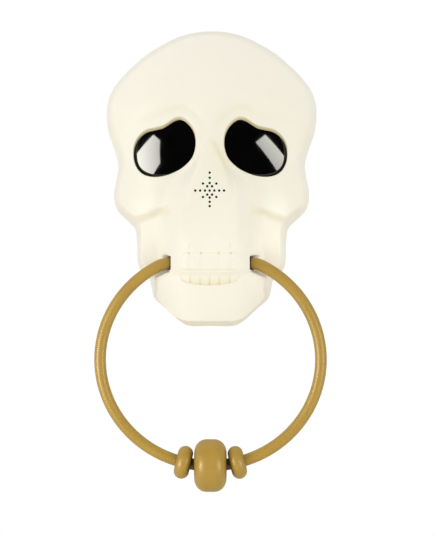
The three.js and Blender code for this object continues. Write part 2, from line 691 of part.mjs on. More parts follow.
const lowTab = block(plateX[0], TAB_LOW[0] + 4, TAB_LOW[2] - 2, TAB_LOW[2],
  TAB_LOW[1] - 4, TAB_LOW[1] + 4);
const tabHole = ([x, z, d]) => post(x, z, 1.5, d - 6, d + 6, 6);
const driveBracket = cut(join(plate, ...arms, highTab, lowTab),
  barX(motorY, motorZ, 3 + GAP, -1, 5), barX(pinY, pinZ, PIN_RADIUS + GAP, -1, 5, 12),
  tabHole(TAB_HIGH), tabHole(TAB_LOW));
const tabBoss = ([x, z, d]) => post(x, z, 3.3, d + GAP, 80);
const tabPilot = ([x, z, d]) => post(x, z, 1.5, d, d + 7.5, 6);
const tabScrew = ([x, z, d]) => screw(x, z, d - 2 - GAP, 2.3, 1.4, 1.1, 8);

// Bearings of the knocker

const RIB = [17.5, 23.5];
const RIB_HALF = 13;
const CAP_SCREW_Z = 9.2;
const bearing = BAR_RADIUS + 0.25;
const rib = block(RIB[0], RIB[1], HINGE_DEPTH, 90, -RIB_HALF, RIB_HALF);
const ribX = (RIB[0] + RIB[1]) / 2;
const bearingRoom = barX(-HINGE_DEPTH, 0, bearing, RIB[0] - 2, RIB[1] + 2, 18);
const capBack = HINGE_DEPTH - GAP;
const bearingCap = cut(
  block(RIB[0], RIB[1], capBack - 6.5, capBack, -RIB_HALF, RIB_HALF), bearingRoom,
  ...[-CAP_SCREW_Z, CAP_SCREW_Z].map((z) => post(ribX, z, 1.5, capBack - 9, capBack + 3, 6)),
  ...[-1, 1].map((s) => block(RIB[0] - 1, RIB[1] + 1, capBack - 9, capBack - 3,
    s > 0 ? 6.2 : -RIB_HALF - 1, s > 0 ? RIB_HALF + 1 : -6.2)));
const capPilot = [-CAP_SCREW_Z, CAP_SCREW_Z].map((z) =>
  post(ribX, z, 1.5, HINGE_DEPTH - 1, HINGE_DEPTH + 6.5, 6));
const capScrew = (z) => screw(ribX, z, capBack - 3 - GAP, 2.3, 1.4, 1.1, 9);

// Speaker behind the nose

const speakerBack = SPEAKER_DEPTH - 1.4;
const basket = turnedY([
  [0, 0], [SPEAKER_RADIUS, 0], [SPEAKER_RADIUS, 1.4], [SPEAKER_RADIUS - 1.6, 1.4],
  [SPEAKER_RADIUS - 4, 6.5], [9.4, 8], [9.4, 9.4], [0, 9.4],
], 0, SPEAKER_Z, SPEAKER_DEPTH, 12);
const basketRoom = turnedY([
  [0, -1], [SPEAKER_RADIUS - 2.6, -1], [SPEAKER_RADIUS - 2.6, 1.2], [SPEAKER_RADIUS - 5, 5.6],
  [7.6, 7.4], [0, 7.4],
], 0, SPEAKER_Z, SPEAKER_DEPTH, 12);
const speakerBasket = cut(basket, basketRoom);
const speakerCone = turnedY([
  [0, 2.2], [2.5, 2.6], [4.6, 4.2], [SPEAKER_RADIUS - 5.4, 0.6], [SPEAKER_RADIUS - 3, 0.2],
  [SPEAKER_RADIUS - 3, 1], [SPEAKER_RADIUS - 5.6, 1.6], [4.8, 5.6], [0, 5.6],
], 0, SPEAKER_Z, SPEAKER_DEPTH, 12);
const speakerMagnet = turnedY([
  [0, 0], [9, 0], [9, 5], [8.4, 5.6], [0, 5.6],
], 0, SPEAKER_Z, SPEAKER_DEPTH - 9.4 - GAP, 12);
const SPEAKER_EAR = [24.6, 46];
const clampFront = speakerBack - GAP;
const disc = (radius, near, far, sides = 12) => post(0, SPEAKER_Z, radius, near, far, sides);
const speakerClamp = cut(
  join(disc(SPEAKER_RADIUS + 2.8, clampFront - 1.8, clampFront),
    block(-SPEAKER_EAR[0], SPEAKER_EAR[0], clampFront - 1.8, clampFront,
      SPEAKER_EAR[1] - 3.2, SPEAKER_EAR[1] + 3.2),
    post(SPEAKER_EAR[0], SPEAKER_EAR[1], 3.2, clampFront - 1.8, clampFront),
    post(-SPEAKER_EAR[0], SPEAKER_EAR[1], 3.2, clampFront - 1.8, clampFront)),
  disc(SPEAKER_RADIUS - 1.6 + GAP, clampFront - 4, clampFront + 2),
  post(SPEAKER_EAR[0], SPEAKER_EAR[1], 1.5, 0, 80, 6),
  post(-SPEAKER_EAR[0], SPEAKER_EAR[1], 1.5, 0, 80, 6));
const speakerScrew = screw(SPEAKER_EAR[0], SPEAKER_EAR[1], clampFront - 1.8 - GAP, 2.3, 1.4, 1.1, 4.6);
const wellRadius = SPEAKER_RADIUS + 0.8;
const speakerWell = cut(disc(wellRadius + 2, clampFront + GAP, 90),
  disc(wellRadius, 0, SPEAKER_DEPTH + GAP));
const wallBehind = (x, z) => {
  const near = circle(x, z, WALL, 8).map(([a, b]) => skin(a, b));
  return Math.min(skin(x, z), ...near) - WALL;
};
const grilleRoom = fieldSolid(circle(0, SPEAKER_Z, SPEAKER_RADIUS - 3.6, 14), [0, SPEAKER_Z],
  [0, 0.2, 0.45, 0.7, 1], wallBehind, () => SPEAKER_DEPTH - 2, false, [], [0, 1]);
const speakerEarBoss = post(SPEAKER_EAR[0], SPEAKER_EAR[1], 3.2, clampFront + GAP, 90);
const speakerPilot = post(SPEAKER_EAR[0], SPEAKER_EAR[1], 1.5, clampFront - 1, clampFront + 2.9, 6);

const grilleHoles = [[0, 0]];
[[5.25, 4.85], [8.85, 7.75], [12.35, 10.65]].forEach(([up, down]) =>
  grilleHoles.push([0, up], [0, -down]));
[3.22, 6.57, 9.9].forEach((x) => grilleHoles.push([x, 0], [-x, 0]));
[[1.65, 2.95, 2.8], [4.6, 4.85, 4.42]].forEach(([x, up, down]) =>
  grilleHoles.push([x, up], [-x, up], [x, -down], [-x, -down]));
const grille = grilleHoles.map(([x, z]) => post(x, SPEAKER_Z + z, HOLE_RADIUS, 50, 80, 6));

// Mouth: gum step, tooth grooves, lower row set back under the lip

const GUM_Z = 6.1;
const BITE_Z = -5.8;
const UPPER_X = [6.1, 14.6];
const LOWER_X = [0, 6.6, 13.5];
const UPPER_HALF = 20.2;
const LIP_Z = -16.3;
const LIP_HALF = 20.8;
const LIP_RISE = 0.0078;
const lipAt = (x) => LIP_Z + LIP_RISE * x * x;
const gumAt = (x) => GUM_Z - 3.4 * step(UPPER_HALF - 5, UPPER_HALF, Math.abs(x));

const spread = (half, count) => Array.from({ length: count + 1 }, (_, i) =>
  -half + (2 * half * i) / count);
const upperRow = stripCutter(spread(UPPER_HALF, 8), () => BITE_Z, gumAt, (x, z) => skin(x, z) - 0.7);
const lowerRow = stripCutter(spread(LIP_HALF - 0.6, 8), lipAt, () => BITE_Z, (x, z) =>
  skin(x, z) - 0.5 - 1.6 * Math.min(1, (BITE_Z - z) / (BITE_Z - LIP_Z)));
const groove = (x, z0, z1, deep) => {
  const d = skin(x, (z0 + z1) / 2);
  return block(x - 0.35, x + 0.35, d - deep, 90, z0, z1);
};
const grooves = [stripCutter(spread(19.4, 8), () => BITE_Z - 0.4, () => BITE_Z + 0.4,
  (x, z) => skin(x, z) - 1.8)];
UPPER_X.forEach((x) => grooves.push(groove(x, BITE_Z, GUM_Z, 1.6), groove(-x, BITE_Z, GUM_Z, 1.6)));
LOWER_X.forEach((x) => {
  const low = lipAt(x) + 0.4;
  grooves.push(groove(x, low, BITE_Z, 2.6));
  if (x > 0) grooves.push(groove(-x, low, BITE_Z, 2.6));
});
const roots = [13.9, -13.9].map((x) => groove(x, GUM_Z + 3.2, GUM_Z + 6.8, 0.7));

// Shell

const CASE_SCREW = [[62 * SX, zScale(106)], [-62 * SX, zScale(106)], [60 * SX, zScale(47)],
  [-60 * SX, zScale(47)], [0, zScale(-36)]];
const CUP = 4.3;
const caseBoss = CASE_SCREW.map(([x, z]) => post(x, z, 4, CUP + GAP, 80));
const casePilot = CASE_SCREW.map(([x, z]) => post(x, z, 1.8, CUP, 16));

const pair = (solid) => [solid, mirror(solid)];
const inner = [
  ...caseBoss, ...pair(eyeCollar), ...earBoss.flatMap(pair), ...pair(rib), tabBoss(TAB_HIGH),
  tabBoss(TAB_LOW), speakerWell, ...pair(speakerEarBoss),
];
const holes = [
  ...casePilot, ...pair(eyeHole), ...earPilot.flatMap(pair), ...pair(bearingRoom),
  ...capPilot.flatMap(pair), tabPilot(TAB_HIGH), tabPilot(TAB_LOW), grilleRoom,
  disc(wellRadius, 30, SPEAKER_DEPTH + GAP), ...pair(speakerPilot), ...grille,
  upperRow, lowerRow, ...grooves, ...roots,
  ...pair(barX(-HINGE_DEPTH, 0, BAR_RADIUS + 1.1, RIB[1] - 0.5, SLOT_X + 12)),
  ...pair(block(SLOT_X - 2.8, SLOT_X + 6, HINGE_DEPTH - 6.5, 90, -6.4, 6.4)),
];
const skullShell = cut(join(cut(outer, hollow), join(...inner).intersect(core)), join(...holes));

// Back cover with the cell box, lid and switch

const coverRing = grown(outline(44), -WALL - 0.4);
const coverPlate = prism('y', coverRing.map(([x, z]) => [z, x]), -COVER, 0);
const boxTop = BOX_BOTTOM + CELL_LENGTH + 9.6;
const boxHalf = CELL_PITCH + CELL_RADIUS + 0.6 + BOX_WALL;
const boxDepth = 2 * CELL_RADIUS + 5.8;
const cellDepth = CELL_RADIUS + 3.2;
const lidTop = boxTop - BOX_WALL;
const lidFoot = BOX_BOTTOM + BOX_WALL;
const lidHalf = boxHalf - BOX_WALL;
const TONGUE = 4.5;
const tongueFoot = BOX_BOTTOM - 7;
const tongueScrewZ = BOX_BOTTOM - 2.6;
const LATCH_X = 14;

const SWITCH = [36, 44];
const POCKET_FLOOR = 5;
const BOARD_DEPTH = 12;
const BOARD = [-25, 25, boxTop + 2.4, boxTop + 22.4];
const boardPosts = [[-21.5, BOARD[2] + 3.5], [21.5, BOARD[3] - 3.5], [21.5, BOARD[2] + 3.5],
  [-21.5, BOARD[3] - 3.5]];

const keyholeHead = post(0, KEYHOLE_Z, KEYHOLE_HEAD, -1, 6, 12);
const keyholeSlot = join(block(-KEYHOLE_SLOT, KEYHOLE_SLOT, -1, 6, KEYHOLE_Z, KEYHOLE_Z + 7.5),
  post(0, KEYHOLE_Z + 7.5, KEYHOLE_SLOT, -1, 6, 8));
const coverSolid = join(coverPlate,
  block(-boxHalf, boxHalf, 0, boxDepth, BOX_BOTTOM, boxTop),
  block(-TONGUE - 2, TONGUE + 2, 0, 9, tongueFoot - 1.6, BOX_BOTTOM + 1),
  block(SWITCH[0] - 10, SWITCH[0] + 10, 0, POCKET_FLOOR + 1.6, SWITCH[1] - 6, SWITCH[1] + 6),
  ...CASE_SCREW.map(([x, z]) => post(x, z, 5, 0, CUP)),
  ...boardPosts.map(([x, z]) => post(x, z, 2.6, 0, BOARD_DEPTH - GAP)));
const coverHoles = join(
  block(-lidHalf, lidHalf, -1, boxDepth - BOX_WALL, lidFoot, lidTop),
  block(-TONGUE, TONGUE, -1, 3.9, tongueFoot, lidFoot + 1),
  post(0, tongueScrewZ, 1.8, 3, 7.5),
  ...[-LATCH_X, LATCH_X].map((x) => block(x - 3.6, x + 3.6, COVER, 6.5, lidTop - 1, boxTop + 1)),
  block(SWITCH[0] - 8.4, SWITCH[0] + 8.4, -1, POCKET_FLOOR, SWITCH[1] - 4.4, SWITCH[1] + 4.4),
  block(SWITCH[0] - 5.2, SWITCH[0] + 5.2, 0, 20, SWITCH[1] - 2, SWITCH[1] + 2),
  keyholeHead, keyholeSlot,
  ...CASE_SCREW.flatMap(([x, z]) => [post(x, z, 3.5, -1, 2.4), post(x, z, 1.8, 0, 9)]),
  ...boardPosts.slice(0, 2).map(([x, z]) => post(x, z, 1.5, 4, 20, 6)));
const backCover = cut(coverSolid, coverHoles);

const lidPlate = block(-lidHalf + GAP, lidHalf - GAP, 0.2, 2.2, lidFoot + GAP, lidTop - GAP);
const lidTongue = block(-TONGUE + GAP, TONGUE - GAP, 0.2, 3.6, tongueFoot + GAP, lidFoot + 0.6);
const latches = [-LATCH_X, LATCH_X].map((x) => join(
  block(x - 3, x + 3, 2, 4.5, lidTop - 2.6, lidTop - GAP),
  block(x - 3, x + 3, COVER + GAP, 4.5, lidTop - 2.6, lidTop + 3)));
const gripBars = [0, 1, 2].map((i) =>
  block(-9, 9, -1, 0.8, lidFoot + 8 + i * 3, lidFoot + 9.2 + i * 3));
const batteryDoor = cut(join(lidPlate, lidTongue, ...latches),
  post(0, tongueScrewZ, 3.1, -1, 2.2), post(0, tongueScrewZ, 1.8, -1, 8), ...gripBars);
const batteryDoorScrew = screw(0, tongueScrewZ, 2.2 - GAP, 2.5, 1.4, 1.4, 4.1, 10);

const cellBottom = BOX_BOTTOM + BOX_WALL + 3.3;
const cellTop = cellBottom + CELL_LENGTH;
function cell(x, up) {
  const r = CELL_RADIUS;
  const l = CELL_LENGTH;
  const profile = [
    [0, 0], [r - 1.6, 0], [r - 0.4, 0.4], [r, 1], [r, l - 2.2], [r - 0.6, l - 1.6], [2.8, l - 1.5],
    [2.8, l], [0, l],
  ];
  const body = turned(profile, 10);
  const set = up ? body : body.rotate([180, 0, 0]).translate([0, 0, l]);
  return set.translate([x, -cellDepth, cellBottom]);
}
const dimple = (x, z, up) => {
  const d = turned([[0, -0.2], [3.4, -0.2], [2.2, 1.5], [0, 1.7]], 8);
  const set = up ? d : d.rotate([180, 0, 0]);
  return set.translate([x, -cellDepth, z]);
};
const strip = (x0, x1, z, up) => {
  const sheet = box(x0, x1, -cellDepth - 4.5, -cellDepth + 4.5, up ? z : z - 0.6, up ? z + 0.6 : z);
  return sheet;
};
const low = BOX_BOTTOM + BOX_WALL + GAP;
const high = lidTop - GAP;
const contactMinus = join(strip(-CELL_PITCH - 5, -CELL_PITCH + 5, low, true),
  dimple(-CELL_PITCH, low + 0.6, true));
const contactLow = join(strip(-5, CELL_PITCH + 5, low, true), dimple(0, low + 0.6, true),
  dimple(CELL_PITCH, low + 0.6, true));
const contactHigh = join(strip(-CELL_PITCH - 5, 5, high, false), dimple(-CELL_PITCH, high - 0.6, false),
  dimple(0, high - 0.6, false));
const contactPlus = join(strip(CELL_PITCH - 5, CELL_PITCH + 5, high, false),
  dimple(CELL_PITCH, high - 0.6, false));

const switchBody = cut(
  block(SWITCH[0] - 8, SWITCH[0] + 8, POCKET_FLOOR + 1.6 + GAP, POCKET_FLOOR + 8, SWITCH[1] - 3.6,
    SWITCH[1] + 3.6),
  block(SWITCH[0] - 5.2, SWITCH[0] + 5.2, 0, POCKET_FLOOR + 5.5, SWITCH[1] - 2, SWITCH[1] + 2));
const SWITCH_TRAVEL = 4;
const knobX = SWITCH[0] - SWITCH_TRAVEL / 2;
const switchKnob = join(
  block(knobX - 2.6, knobX + 2.6, 1.6, POCKET_FLOOR + 5.2, SWITCH[1] - 1.6, SWITCH[1] + 1.6));

const boardHoles = boardPosts.slice(0, 2).map(([x, z]) => post(x, z, 1.5, 5, 20, 6));
const mainBoard = cut(
  block(BOARD[0], BOARD[1], BOARD_DEPTH, BOARD_DEPTH + 1.6, BOARD[2], BOARD[3]), ...boardHoles);
const boardMidZ = (BOARD[2] + BOARD[3]) / 2;
const soundChip = block(-5, 5, BOARD_DEPTH + 1.6 + GAP, BOARD_DEPTH + 4.2, boardMidZ - 4, boardMidZ + 4);
const boardScrew = ([x, z]) => screw(x, z, 0, 2.1, 1.3, 1.1, 6).mirror([0, 1, 0])
  .translate([0, -(BOARD_DEPTH + 1.6 + GAP), 0]);

// Parts list

const root = new THREE.Group();
root.name = 'skull_door_knocker';
const LOOK = {
  bone: ['#efe6cf', 0.55, 0],
  gold: ['#b5963f', 0.45, 0.1],
  glass: ['#0b0b0d', 0.08, 0],
  white: ['#e9ebec', 0.5, 0],
  lamp: ['#f3f6ff', 0.2, 0],
  steel: ['#b9bcc0', 0.35, 0.9],
  dark: ['#2c2d30', 0.6, 0],
  nylon: ['#e4e1d6', 0.55, 0],
  paper: ['#23211f', 0.9, 0],
  board: ['#2f6b45', 0.6, 0],
  cell: ['#3a4148', 0.4, 0.3],
  brass: ['#c9a85a', 0.35, 0.8],
};

function add(name, solid, look) {
  const [color, roughness, metalness] = LOOK[look];
  const material = new THREE.MeshStandardMaterial({ color, roughness, metalness });
  const mesh = new THREE.Mesh(toGeometry(solid), material);
  mesh.name = name;
  root.add(mesh);
}

const sides = ['right', 'left'];
add('skull_shell', skullShell, 'bone');
add('back_cover', backCover, 'bone');
add('battery_door', batteryDoor, 'bone');
add('battery_door_screw', batteryDoorScrew, 'steel');
CASE_SCREW.forEach(([x, z], i) =>
  add(`case_screw_${i + 1}`, screw(x, z, 2.4 - GAP, 2.9, 1.7, 1.4, 11, 10), 'steel'));
sides.forEach((side, i) => {
  const put = (solid) => (i ? mirror(solid) : solid);
  add(`eye_lens_${side}`, put(eyeLens), 'glass');
  add(`eye_reflector_${side}`, put(eyeCup), 'white');
  add(`eye_led_${side}`, put(eyeLamp), 'lamp');
  add(`eye_screw_${side}_upper`, put(earScrews[0]), 'steel');
  add(`eye_screw_${side}_lower`, put(earScrews[1]), 'steel');
  add(`bearing_cap_${side}`, put(bearingCap), 'nylon');
  add(`bearing_screw_${side}_upper`, put(capScrew(CAP_SCREW_Z)), 'steel');
  add(`bearing_screw_${side}_lower`, put(capScrew(-CAP_SCREW_Z)), 'steel');
  add(`speaker_screw_${side}`, put(speakerScrew), 'steel');
  add(`knocker_side_bead_${side}`, put(sideBead), 'gold');
});
add('speaker_basket', speakerBasket, 'steel');
add('speaker_cone', speakerCone, 'paper');
add('speaker_magnet', speakerMagnet, 'dark');
add('speaker_clamp', speakerClamp, 'nylon');
add('knocker_ring', knockerRing, 'gold');
add('knocker_bead', knockerBead, 'gold');
add('knocker_axle', knockerAxle, 'steel');
add('sector_gear', sectorGear, 'nylon');
add('reduction_gear', reductionGear, 'nylon');
add('reduction_pin', reductionPin, 'steel');
add('motor_pinion', motorPinion, 'brass');
add('motor_can', motorCan, 'steel');
add('motor_cap', motorCap, 'dark');
add('drive_bracket', driveBracket, 'nylon');
add('bracket_screw_upper', tabScrew(TAB_HIGH), 'steel');
add('bracket_screw_lower', tabScrew(TAB_LOW), 'steel');
add('main_board', mainBoard, 'board');
add('sound_chip', soundChip, 'dark');
boardPosts.slice(0, 2).forEach((p, i) => add(`board_screw_${i + 1}`, boardScrew(p), 'steel'));
[[-1, true], [0, false], [1, true]].forEach(([k, up], i) =>
  add(`battery_cell_${i + 1}`, cell(k * CELL_PITCH, up), 'cell'));
add('contact_minus', contactMinus, 'brass');
add('contact_link_lower', contactLow, 'brass');
add('contact_link_upper', contactHigh, 'brass');
add('contact_plus', contactPlus, 'brass');
add('switch_body', switchBody, 'dark');
add('switch_knob', switchKnob, 'dark');

export default root;
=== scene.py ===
import json
import math

import bmesh
import bpy
import numpy as np
from mathutils import Matrix, Vector
from mathutils.geometry import tessellate_polygon


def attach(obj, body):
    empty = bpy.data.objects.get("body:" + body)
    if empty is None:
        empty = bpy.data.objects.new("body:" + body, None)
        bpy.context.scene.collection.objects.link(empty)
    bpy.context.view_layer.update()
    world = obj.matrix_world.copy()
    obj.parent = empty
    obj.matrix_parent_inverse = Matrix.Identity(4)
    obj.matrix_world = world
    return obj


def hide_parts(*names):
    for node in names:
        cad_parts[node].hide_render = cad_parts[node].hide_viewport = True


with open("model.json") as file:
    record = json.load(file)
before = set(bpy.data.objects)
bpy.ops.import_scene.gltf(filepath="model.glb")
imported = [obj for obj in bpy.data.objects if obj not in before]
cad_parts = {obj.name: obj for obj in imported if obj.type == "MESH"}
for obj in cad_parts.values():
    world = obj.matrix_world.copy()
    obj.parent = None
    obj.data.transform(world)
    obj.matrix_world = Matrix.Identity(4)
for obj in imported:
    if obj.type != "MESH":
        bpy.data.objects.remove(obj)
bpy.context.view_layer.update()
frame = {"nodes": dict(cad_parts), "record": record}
MM = 0.001

# Sizes in millimetres, on the part's own hinge, rim and eye outlines. +Z up, door at y = 0
OUTLINE = [
    (0, 166), (20.5, 163), (41.3, 152.9), (56, 141.4), (67, 130), (73.7, 118.5), (75.6, 106.5),
    (74.1, 93), (69.8, 80.5), (67.2, 69.5), (68.3, 60), (70.1, 51), (69.8, 43), (67.2, 36.3),
    (60.5, 29.6), (55, 23.6), (53.6, 14), (53.2, 0), (50.5, -7), (44.5, -13), (43, -19),
    (41, -26), (33, -33.5), (23.5, -42), (15.5, -46), (0, -46)]
EYE = [
    (21, 98.8), (25, 97.7), (29, 95.2), (33, 92.9), (38, 91.8), (43.5, 90.6), (47.8, 88.1),
    (51, 84.5), (53, 79.8), (53.6, 74.5), (52.8, 69.3), (50.5, 64.7), (47, 61.5), (42.5, 59.8),
    (37, 59.4), (31, 60.3), (25.5, 62.2), (20, 65), (15, 69.2), (12, 73.3), (10.4, 78.3),
    (10, 82.6), (10.5, 87), (12, 91.1), (14.4, 94.6), (17.4, 97.4)]
EYE_CENTRE = np.array([33.0, 78.0])
WALL = 2.4
COVER_GAP = 0.25
SIDE_SLOPE = 6.8
JAW_SLOPE = 24.0
CHIN_SLOPE = 11.0
HINGE_DEPTH = 40.0
BAR_RADIUS = 4.1
RING_HALF_WIDTH = 77.4
RING_HALF_HEIGHT = 74.3
SLOT_X = 30.0
JOURNAL_IN = 15.5
SPEAKER_Z = 49.0
HOLE_RADIUS = 0.88
HOLES_UPRIGHT = [(5.25, 4.85), (8.85, 7.75), (12.35, 10.65)]
HOLES_ACROSS = [3.22, 6.57, 9.9]
HOLES_SLANTED = [(1.65, 2.95, 2.8), (4.6, 4.85, 4.42)]
SLOT_CORNERS = [(29.5, 3.4), (28.1, 3.6), (28.1, -5.1), (29.5, -5.4)]
LENS_GAP = 0.35
LENS_SINK = 3.8
LENS_DOME = 2.6
LENS_SPREAD = (22, 21)
LENS_STEP, LENS_SEAT, LENS_BACK = 5.0, 7.0, 8.3
FLANGE_OUT = 2.4
GUM_Z = 6.1
BITE_Z = -5.8
LIP_Z = -16.3
LIP_RISE = 0.0078
LIP_HALF = 20.8
UPPER_HALF = 20.2
UPPER_X = [6.1, 14.6]
LOWER_X = [0.0, 6.6, 13.5]
TOOTH_CORNER = 4.2
BEAD_RADIUS = 18.4
BEAD_HALF = 11.3
SIDE_BEAD_RADIUS = 11.65
SIDE_BEAD_HALF = 5.3
SIDE_BEAD_X = 18.9
BEAD_BORE = BAR_RADIUS + 0.25
EDGE_WIDTH = 0.25
CASE_SCREWS = [(62, 106), (-62, 106), (60, 47), (-60, 47), (0, -36)]
DOOR_SCREW = (0, 55.4)
CELL_RADIUS = 7.1
CELL_LENGTH = 50.5
CELL_PITCH = 15.2
CELL_FOOT = 62.9
CELL_DEPTH = 10.3
KNOB_MIDDLE = 34.0
KNOB_LEFT, KNOB_RIGHT = 31.4, 36.6
KNOB_TOP, KNOB_LIP, KNOB_ROOT = 1.65, 2.3, 10.2
KNOB_LOW, KNOB_HIGH = 42.4, 45.6
SIDES = [(1, "right"), (-1, "left")]


# Small maths on arrays

def step(a, b, v):
    """Smooth rise from 0 at a to 1 at b."""
    t = np.clip((v - a) / (b - a), 0, 1)
    return t * t * (3 - 2 * t)


def smin(a, b, k):
    """The smaller of two, blended where they are within k of each other."""
    h = np.maximum(k - np.abs(a - b), 0) / k
    return np.minimum(a, b) - h * h * k / 4


def smax(a, b, k):
    return -smin(-a, -b, k)


def mix(a, b, t):
    return a + (b - a) * t


def bell(v, width):
    return np.exp(-(v / width) ** 2)


def catmull(points, per):
    """Smooth closed curve through points, with a number of steps between each two."""
    p = np.array(points, float)
    n = len(p)
    t = (np.arange(per) / per)[:, None]
    out = []
    for i in range(n):
        a, b, c, d = p[i - 1], p[i], p[(i + 1) % n], p[(i + 2) % n]
        m0 = 0.5 * (c - a)
        m1 = 0.5 * (d - b)
        out.append(b + m0 * t + (3 * c - 3 * b - 2 * m0 - m1) * t ** 2
                   + (2 * b - 2 * c + m0 + m1) * t ** 3)
    return np.concatenate(out)


def polygon_distance(poly, pts):
    """Signed distance of points to a closed polygon, negative inside, and the nearest points."""
    a = poly
    b = np.roll(poly, -1, 0)
    ab = b - a
    best = np.empty(len(pts))
    near = np.empty((len(pts), 2))
    inside = np.empty(len(pts), bool)
    for at in range(0, len(pts), 4000):
        p = pts[at:at + 4000]
        ap = p[:, None] - a[None]
        t = np.clip((ap * ab).sum(-1) / (ab * ab).sum(-1), 0, 1)
        q = ap - t[..., None] * ab
        d2 = (q * q).sum(-1)
        j = d2.argmin(1)
        row = np.arange(len(p))
        best[at:at + 4000] = np.sqrt(d2[row, j])
        near[at:at + 4000] = a[j] + t[row, j][:, None] * ab[j]
        x, z = p[:, :1], p[:, 1:]
        up = (a[:, 1] > z) != (b[:, 1] > z)
        rise = np.where(np.abs(ab[:, 1]) < 1e-12, 1e-12, ab[:, 1])
        cross = up & (x < ab[:, 0] * (z - a[:, 1]) / rise + a[:, 0])
        inside[at:at + 4000] = cross.sum(1) % 2 == 1
    return np.where(inside, -best, best), near


def corner_normals(poly):
    """Outward unit normal at each corner of a closed polygon."""
    t = np.roll(poly, -1, 0) - np.roll(poly, 1, 0)
    t /= np.linalg.norm(t, axis=1)[:, None]
    area = np.sum(poly[:, 0] * np.roll(poly[:, 1], -1) - np.roll(poly[:, 0], -1) * poly[:, 1])
    return np.stack([t[:, 1], -t[:, 0]], 1) * (1 if area > 0 else -1)


def grown(poly, by):
    """A closed polygon moved along its outward normal."""
    return poly + corner_normals(poly) * by


def outward_normals(poly, pts):
    """Outward normal of a closed polygon near each point, smoothed along the polygon."""
    d2 = ((pts[:, None] - poly[None]) ** 2).sum(-1)
    two = np.argsort(d2, 1)[:, :2]
    row = np.arange(len(pts))[:, None]
    w = 1 / (np.sqrt(d2[row, two]) + 1e-6)
    n = (corner_normals(poly)[two] * w[..., None]).sum(1)
    return n / np.linalg.norm(n, axis=1)[:, None]


# Form of the face: depth from the door plane at each point of the front view

def face(x, z, nose=True):
    """Dome, brows, sockets, cheekbones, muzzle, nasal plate and jaw, less the notch for the bar."""
    ax = np.sqrt(x * x + 1)
    # Dome
    zr = np.where(z > 92, 80, 112)
    q = 1 - (ax / 81) ** 2 - ((z - 92) / zr) ** 2
    f = 60 * np.maximum(q, 0.004) ** 0.46

    # Brows and sockets
    shelf = 110 - 0.24 * (ax - 22)
    brow = bell(z - shelf - 7, 10) * step(9, 26, ax) * (1 - step(46, 70, ax))
    if nose:
        f = f + 1.5 * brow
    socket = (1 - step(-12, 9, z - shelf)) * step(50, 66, z)
    f = f - 3.0 * socket * step(3, 26, ax) * (1 - step(48, 74, ax))

    # Cheekbones over the flatter sides of the jaw
    bone = 50 - 26 * (np.maximum(ax - 25, 0) / 45) ** 2.2
    slab = 32 - 5 * (ax / 54) ** 2
    side = mix(slab, bone - 7, step(2, 36, z))
    under = 1 - step(-3.5, 3.5, z - (36.5 - 0.34 * (ax - 32)))
    cheek = bone - (bone - side) * under
    f = mix(cheek, f, step(50, 74, z))

    # Muzzle
    arch = 59 - 18 * (ax / 31) ** 4 - 26 * step(30, 62, z)
    f = smax(f, np.maximum(arch, 0), 9)

    # Nasal plate, wider towards the mouth
    if nose:
        half = 0.8 + 11.5 * step(100, 44, z)
        top = 65 - np.where(z > 48, 0.0052, 0.01) * (z - 48) ** 2 - 30 * step(93, 103, z)
        wall = 3 + 3.8 * step(90, 55, z)
        rise = 10 * step(101, 84, z) * step(34, 74, z)
        fall = rise * step(0, 1, (ax - half) / wall) + 1.2 * np.maximum(ax - half - wall, 0)
        f = smax(f, np.maximum(top - fall, 0), 5)

    # Jaw
    jaw = 57 + bell(z + 33, 8) - 26 * (ax / 42) ** 2.6
    f = mix(f, jaw, step(-5, -10, z))

    # Notch for the bar beside each mouth slot
    gate = step(27.6, 31.2, ax)
    low = -6.2 - 0.5 * np.maximum(0, ax - 31)
    slot = gate * (1 - step(3.7, 4.7, z)) * step(low - 1.5, low, z)
    return f - slot * np.maximum(f - 33, 0)


def rounding(z):
    """Radius between the face and the side walls, from chin to crown."""
    low = mix(3, 6, np.clip((z + 20) / 20, 0, 1)) + 32 * step(-38, -43, z)
    mid = mix(6, 9, np.clip(z / 40, 0, 1))
    high = mix(9, 16, np.clip((z - 40) / 50, 0, 1))
    return np.where(z < 0, low, np.where(z < 40, mid, high))


def lip(x):
    """Lower edge of the lower teeth."""
    return LIP_Z + LIP_RISE * x * x


def mouth(x, z):
    """What the teeth take off the face, and the painted shade in the gaps between them."""
    ax = np.abs(x)
    past = np.hypot(np.maximum(ax - UPPER_HALF + TOOTH_CORNER, 0),
                    np.maximum(z - GUM_Z + TOOTH_CORNER, 0))
    out = past - TOOTH_CORNER
    upper = (1 - step(-0.45, 0.45, out)) * step(BITE_Z - 0.35, BITE_Z + 0.35, z)
    edge = smax(lip(x) - z, ax - LIP_HALF, 4)
    lower = (1 - step(-0.5, 0.4, edge)) * (1 - step(BITE_Z - 0.35, BITE_Z + 0.35, z))
    drop = np.clip((BITE_Z - z) / (BITE_Z - LIP_Z), 0, 1)
    cut = 0.55 * upper + lower * (0.25 + 1.5 * drop)
    # Painted shade: the lower teeth darker towards their lower edge, and each groove, gum pit, the
    # bite line and the root marks darker
    painted_shade = 0.25 * lower * drop ** 2
    for at in UPPER_X:
        groove = upper * bell(ax - at, 0.62)
        pit = bell(ax - at, 0.9) * bell(z - GUM_Z + 0.1, 0.8)
        cut = cut + 0.42 * groove + 0.75 * pit
        painted_shade = painted_shade + 0.04 * groove + 0.33 * pit
    for at in LOWER_X:
        groove = lower * bell(ax - at, 0.7) * step(0.1, 0.75, drop)
        cut = cut + 0.7 * groove
        painted_shade = painted_shade + 0.2 * groove
    bite = bell(z - BITE_Z, 0.75) * (1 - step(18.2, 20.4, ax))
    root = bell(ax - 13.9, 0.5) * step(8.6, 10, z) * (1 - step(12, 13.4, z))
    cut = cut + 0.9 * bite + 0.4 * root
    painted_shade = painted_shade + 0.12 * bite + 0.16 * root
    return cut, np.clip(painted_shade, 0, 1)


